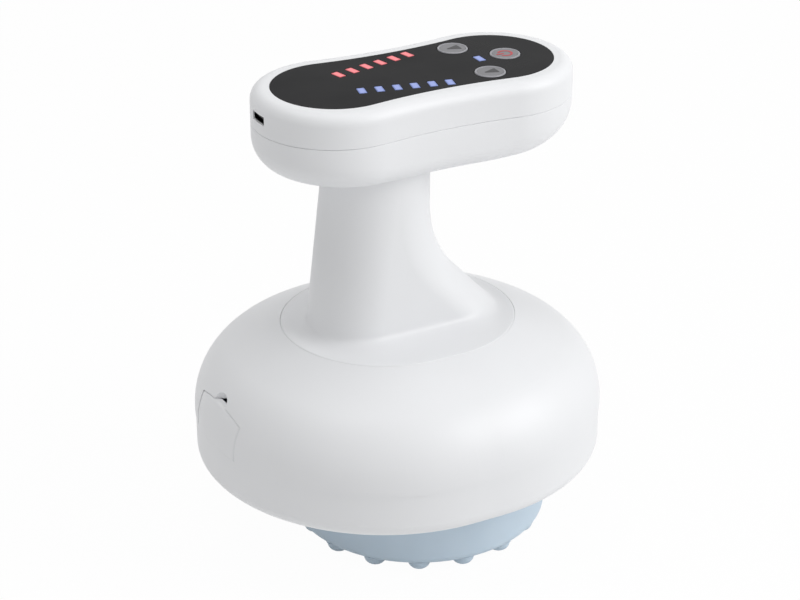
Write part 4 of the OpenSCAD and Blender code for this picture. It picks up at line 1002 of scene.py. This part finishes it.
class MASSAGER_OT_lights(Operator):
    """Make the two rows of lit bars and the status bar, each bar with its guide down to the board"""

    bl_idname = "massager.lights"
    bl_label = "Lit bars"

    def execute(self, context):
        size = sizes(context)
        for row, (node, places) in bar_rows().items():
            slot = "red_lens" if row == "red" else "blue_lens"
            bars, glows = zip(*(lit_bar(size, centre, turn) for centre, turn in places))
            piece(f"{row}_lit_bars", bars, "housing", slot, finish(slot), [node], np.concatenate(glows))
        return {"FINISHED"}


class MASSAGER_OT_socket(Operator):
    """Make the charging socket's shell and contact tongue, which reach the mouth in the handle"""

    bl_idname = "massager.socket"
    bl_label = "Charging socket"

    def execute(self, context):
        shell, tongue = socket_parts()
        # The shell takes nickel painted dark, painted shade for the slot's mouth
        nickel = finish("socket_nickel_painted_shade")
        piece("charging_socket_shell", [shell], "housing", "nickel", nickel, ["usb_socket"])
        piece("charging_socket_tongue", [tongue], "housing", "dark_plastic", finish("dark_plastic"))
        return {"FINISHED"}


class MASSAGER_OT_cover(Operator):
    """Make the side cover with its rounded edge and its two tongues"""

    bl_idname = "massager.cover"
    bl_label = "Side cover"

    def execute(self, context):
        parts = [cover_plate(sizes(context)), cover_tongue(-1), cover_tongue(1)]
        piece("battery_cover", parts, "side_cover", "white_shell", finish("white_shell"), ["side_cover"])
        return {"FINISHED"}


class MASSAGER_OT_head(Operator):
    """Make the silicone head: its skin, and a nub in the middle and in three rings"""

    bl_idname = "massager.head"
    bl_label = "Silicone head"

    def execute(self, context):
        size = sizes(context)
        parts = [head_skin(size)] + [nub(size, centre) for centre in nub_places(size)]
        piece("silicone_head", parts, "head", "silicone", finish("silicone"), ["massage_head"])
        return {"FINISHED"}


class MASSAGER_OT_stage(Operator):
    """Make the pale floor, the surrounding light and the softboxes"""

    bl_idname = "massager.stage"
    bl_label = "Floor and lights"

    def execute(self, context):
        mesh = bpy.data.meshes.new("floor")
        square = [(x * FLOOR_HALF, y * FLOOR_HALF, 0) for x, y in ((-1, -1), (1, -1), (1, 1), (-1, 1))]
        mesh.from_pydata(square, [], [range(4)])
        mesh.materials.append(paper_floor())
        place("floor", mesh)
        context.scene.world = white_studio()
        for name, at, power in SOFTBOXES:
            softbox(name, at, power)
        context.scene.view_settings.view_transform = "Standard"
        return {"FINISHED"}


class MASSAGER_PT_panel(Panel):
    """Sizes, colours and the steps that make the dressed massager"""

    bl_idname = "MASSAGER_PT_panel"
    bl_label = "Massager"
    bl_space_type = "VIEW_3D"
    bl_region_type = "UI"
    bl_category = "Massager"

    def draw(self, context):
        groups = ("massager_sizes", MassagerSizes), ("massager_colours", MassagerColours)
        for group, kind in groups:
            for name in kind.__annotations__:
                self.layout.prop(getattr(context.scene, group), name)
        for step in STEPS:
            self.layout.operator(step.bl_idname)


STEPS = (
    MASSAGER_OT_camera,
    MASSAGER_OT_finishes,
    MASSAGER_OT_shells,
    MASSAGER_OT_keys,
    MASSAGER_OT_lights,
    MASSAGER_OT_socket,
    MASSAGER_OT_cover,
    MASSAGER_OT_head,
    MASSAGER_OT_stage,
)
CLASSES = (MassagerSizes, MassagerColours, *STEPS, MASSAGER_PT_panel)


def register():
    """Register the classes and give the scene its sizes and colours."""
    for group in CLASSES:
        bpy.utils.register_class(group)
    bpy.types.Scene.massager_sizes = PointerProperty(type=MassagerSizes)
    bpy.types.Scene.massager_colours = PointerProperty(type=MassagerColours)


def unregister():
    """Take back what register did."""
    del bpy.types.Scene.massager_sizes, bpy.types.Scene.massager_colours
    for group in reversed(CLASSES):
        bpy.utils.unregister_class(group)


def main():
    """Register the add-on and run its steps in order."""
    register()
    for step in STEPS:
        getattr(bpy.ops.massager, step.bl_idname.split(".")[1])()


if __name__ == "__main__":
    main()
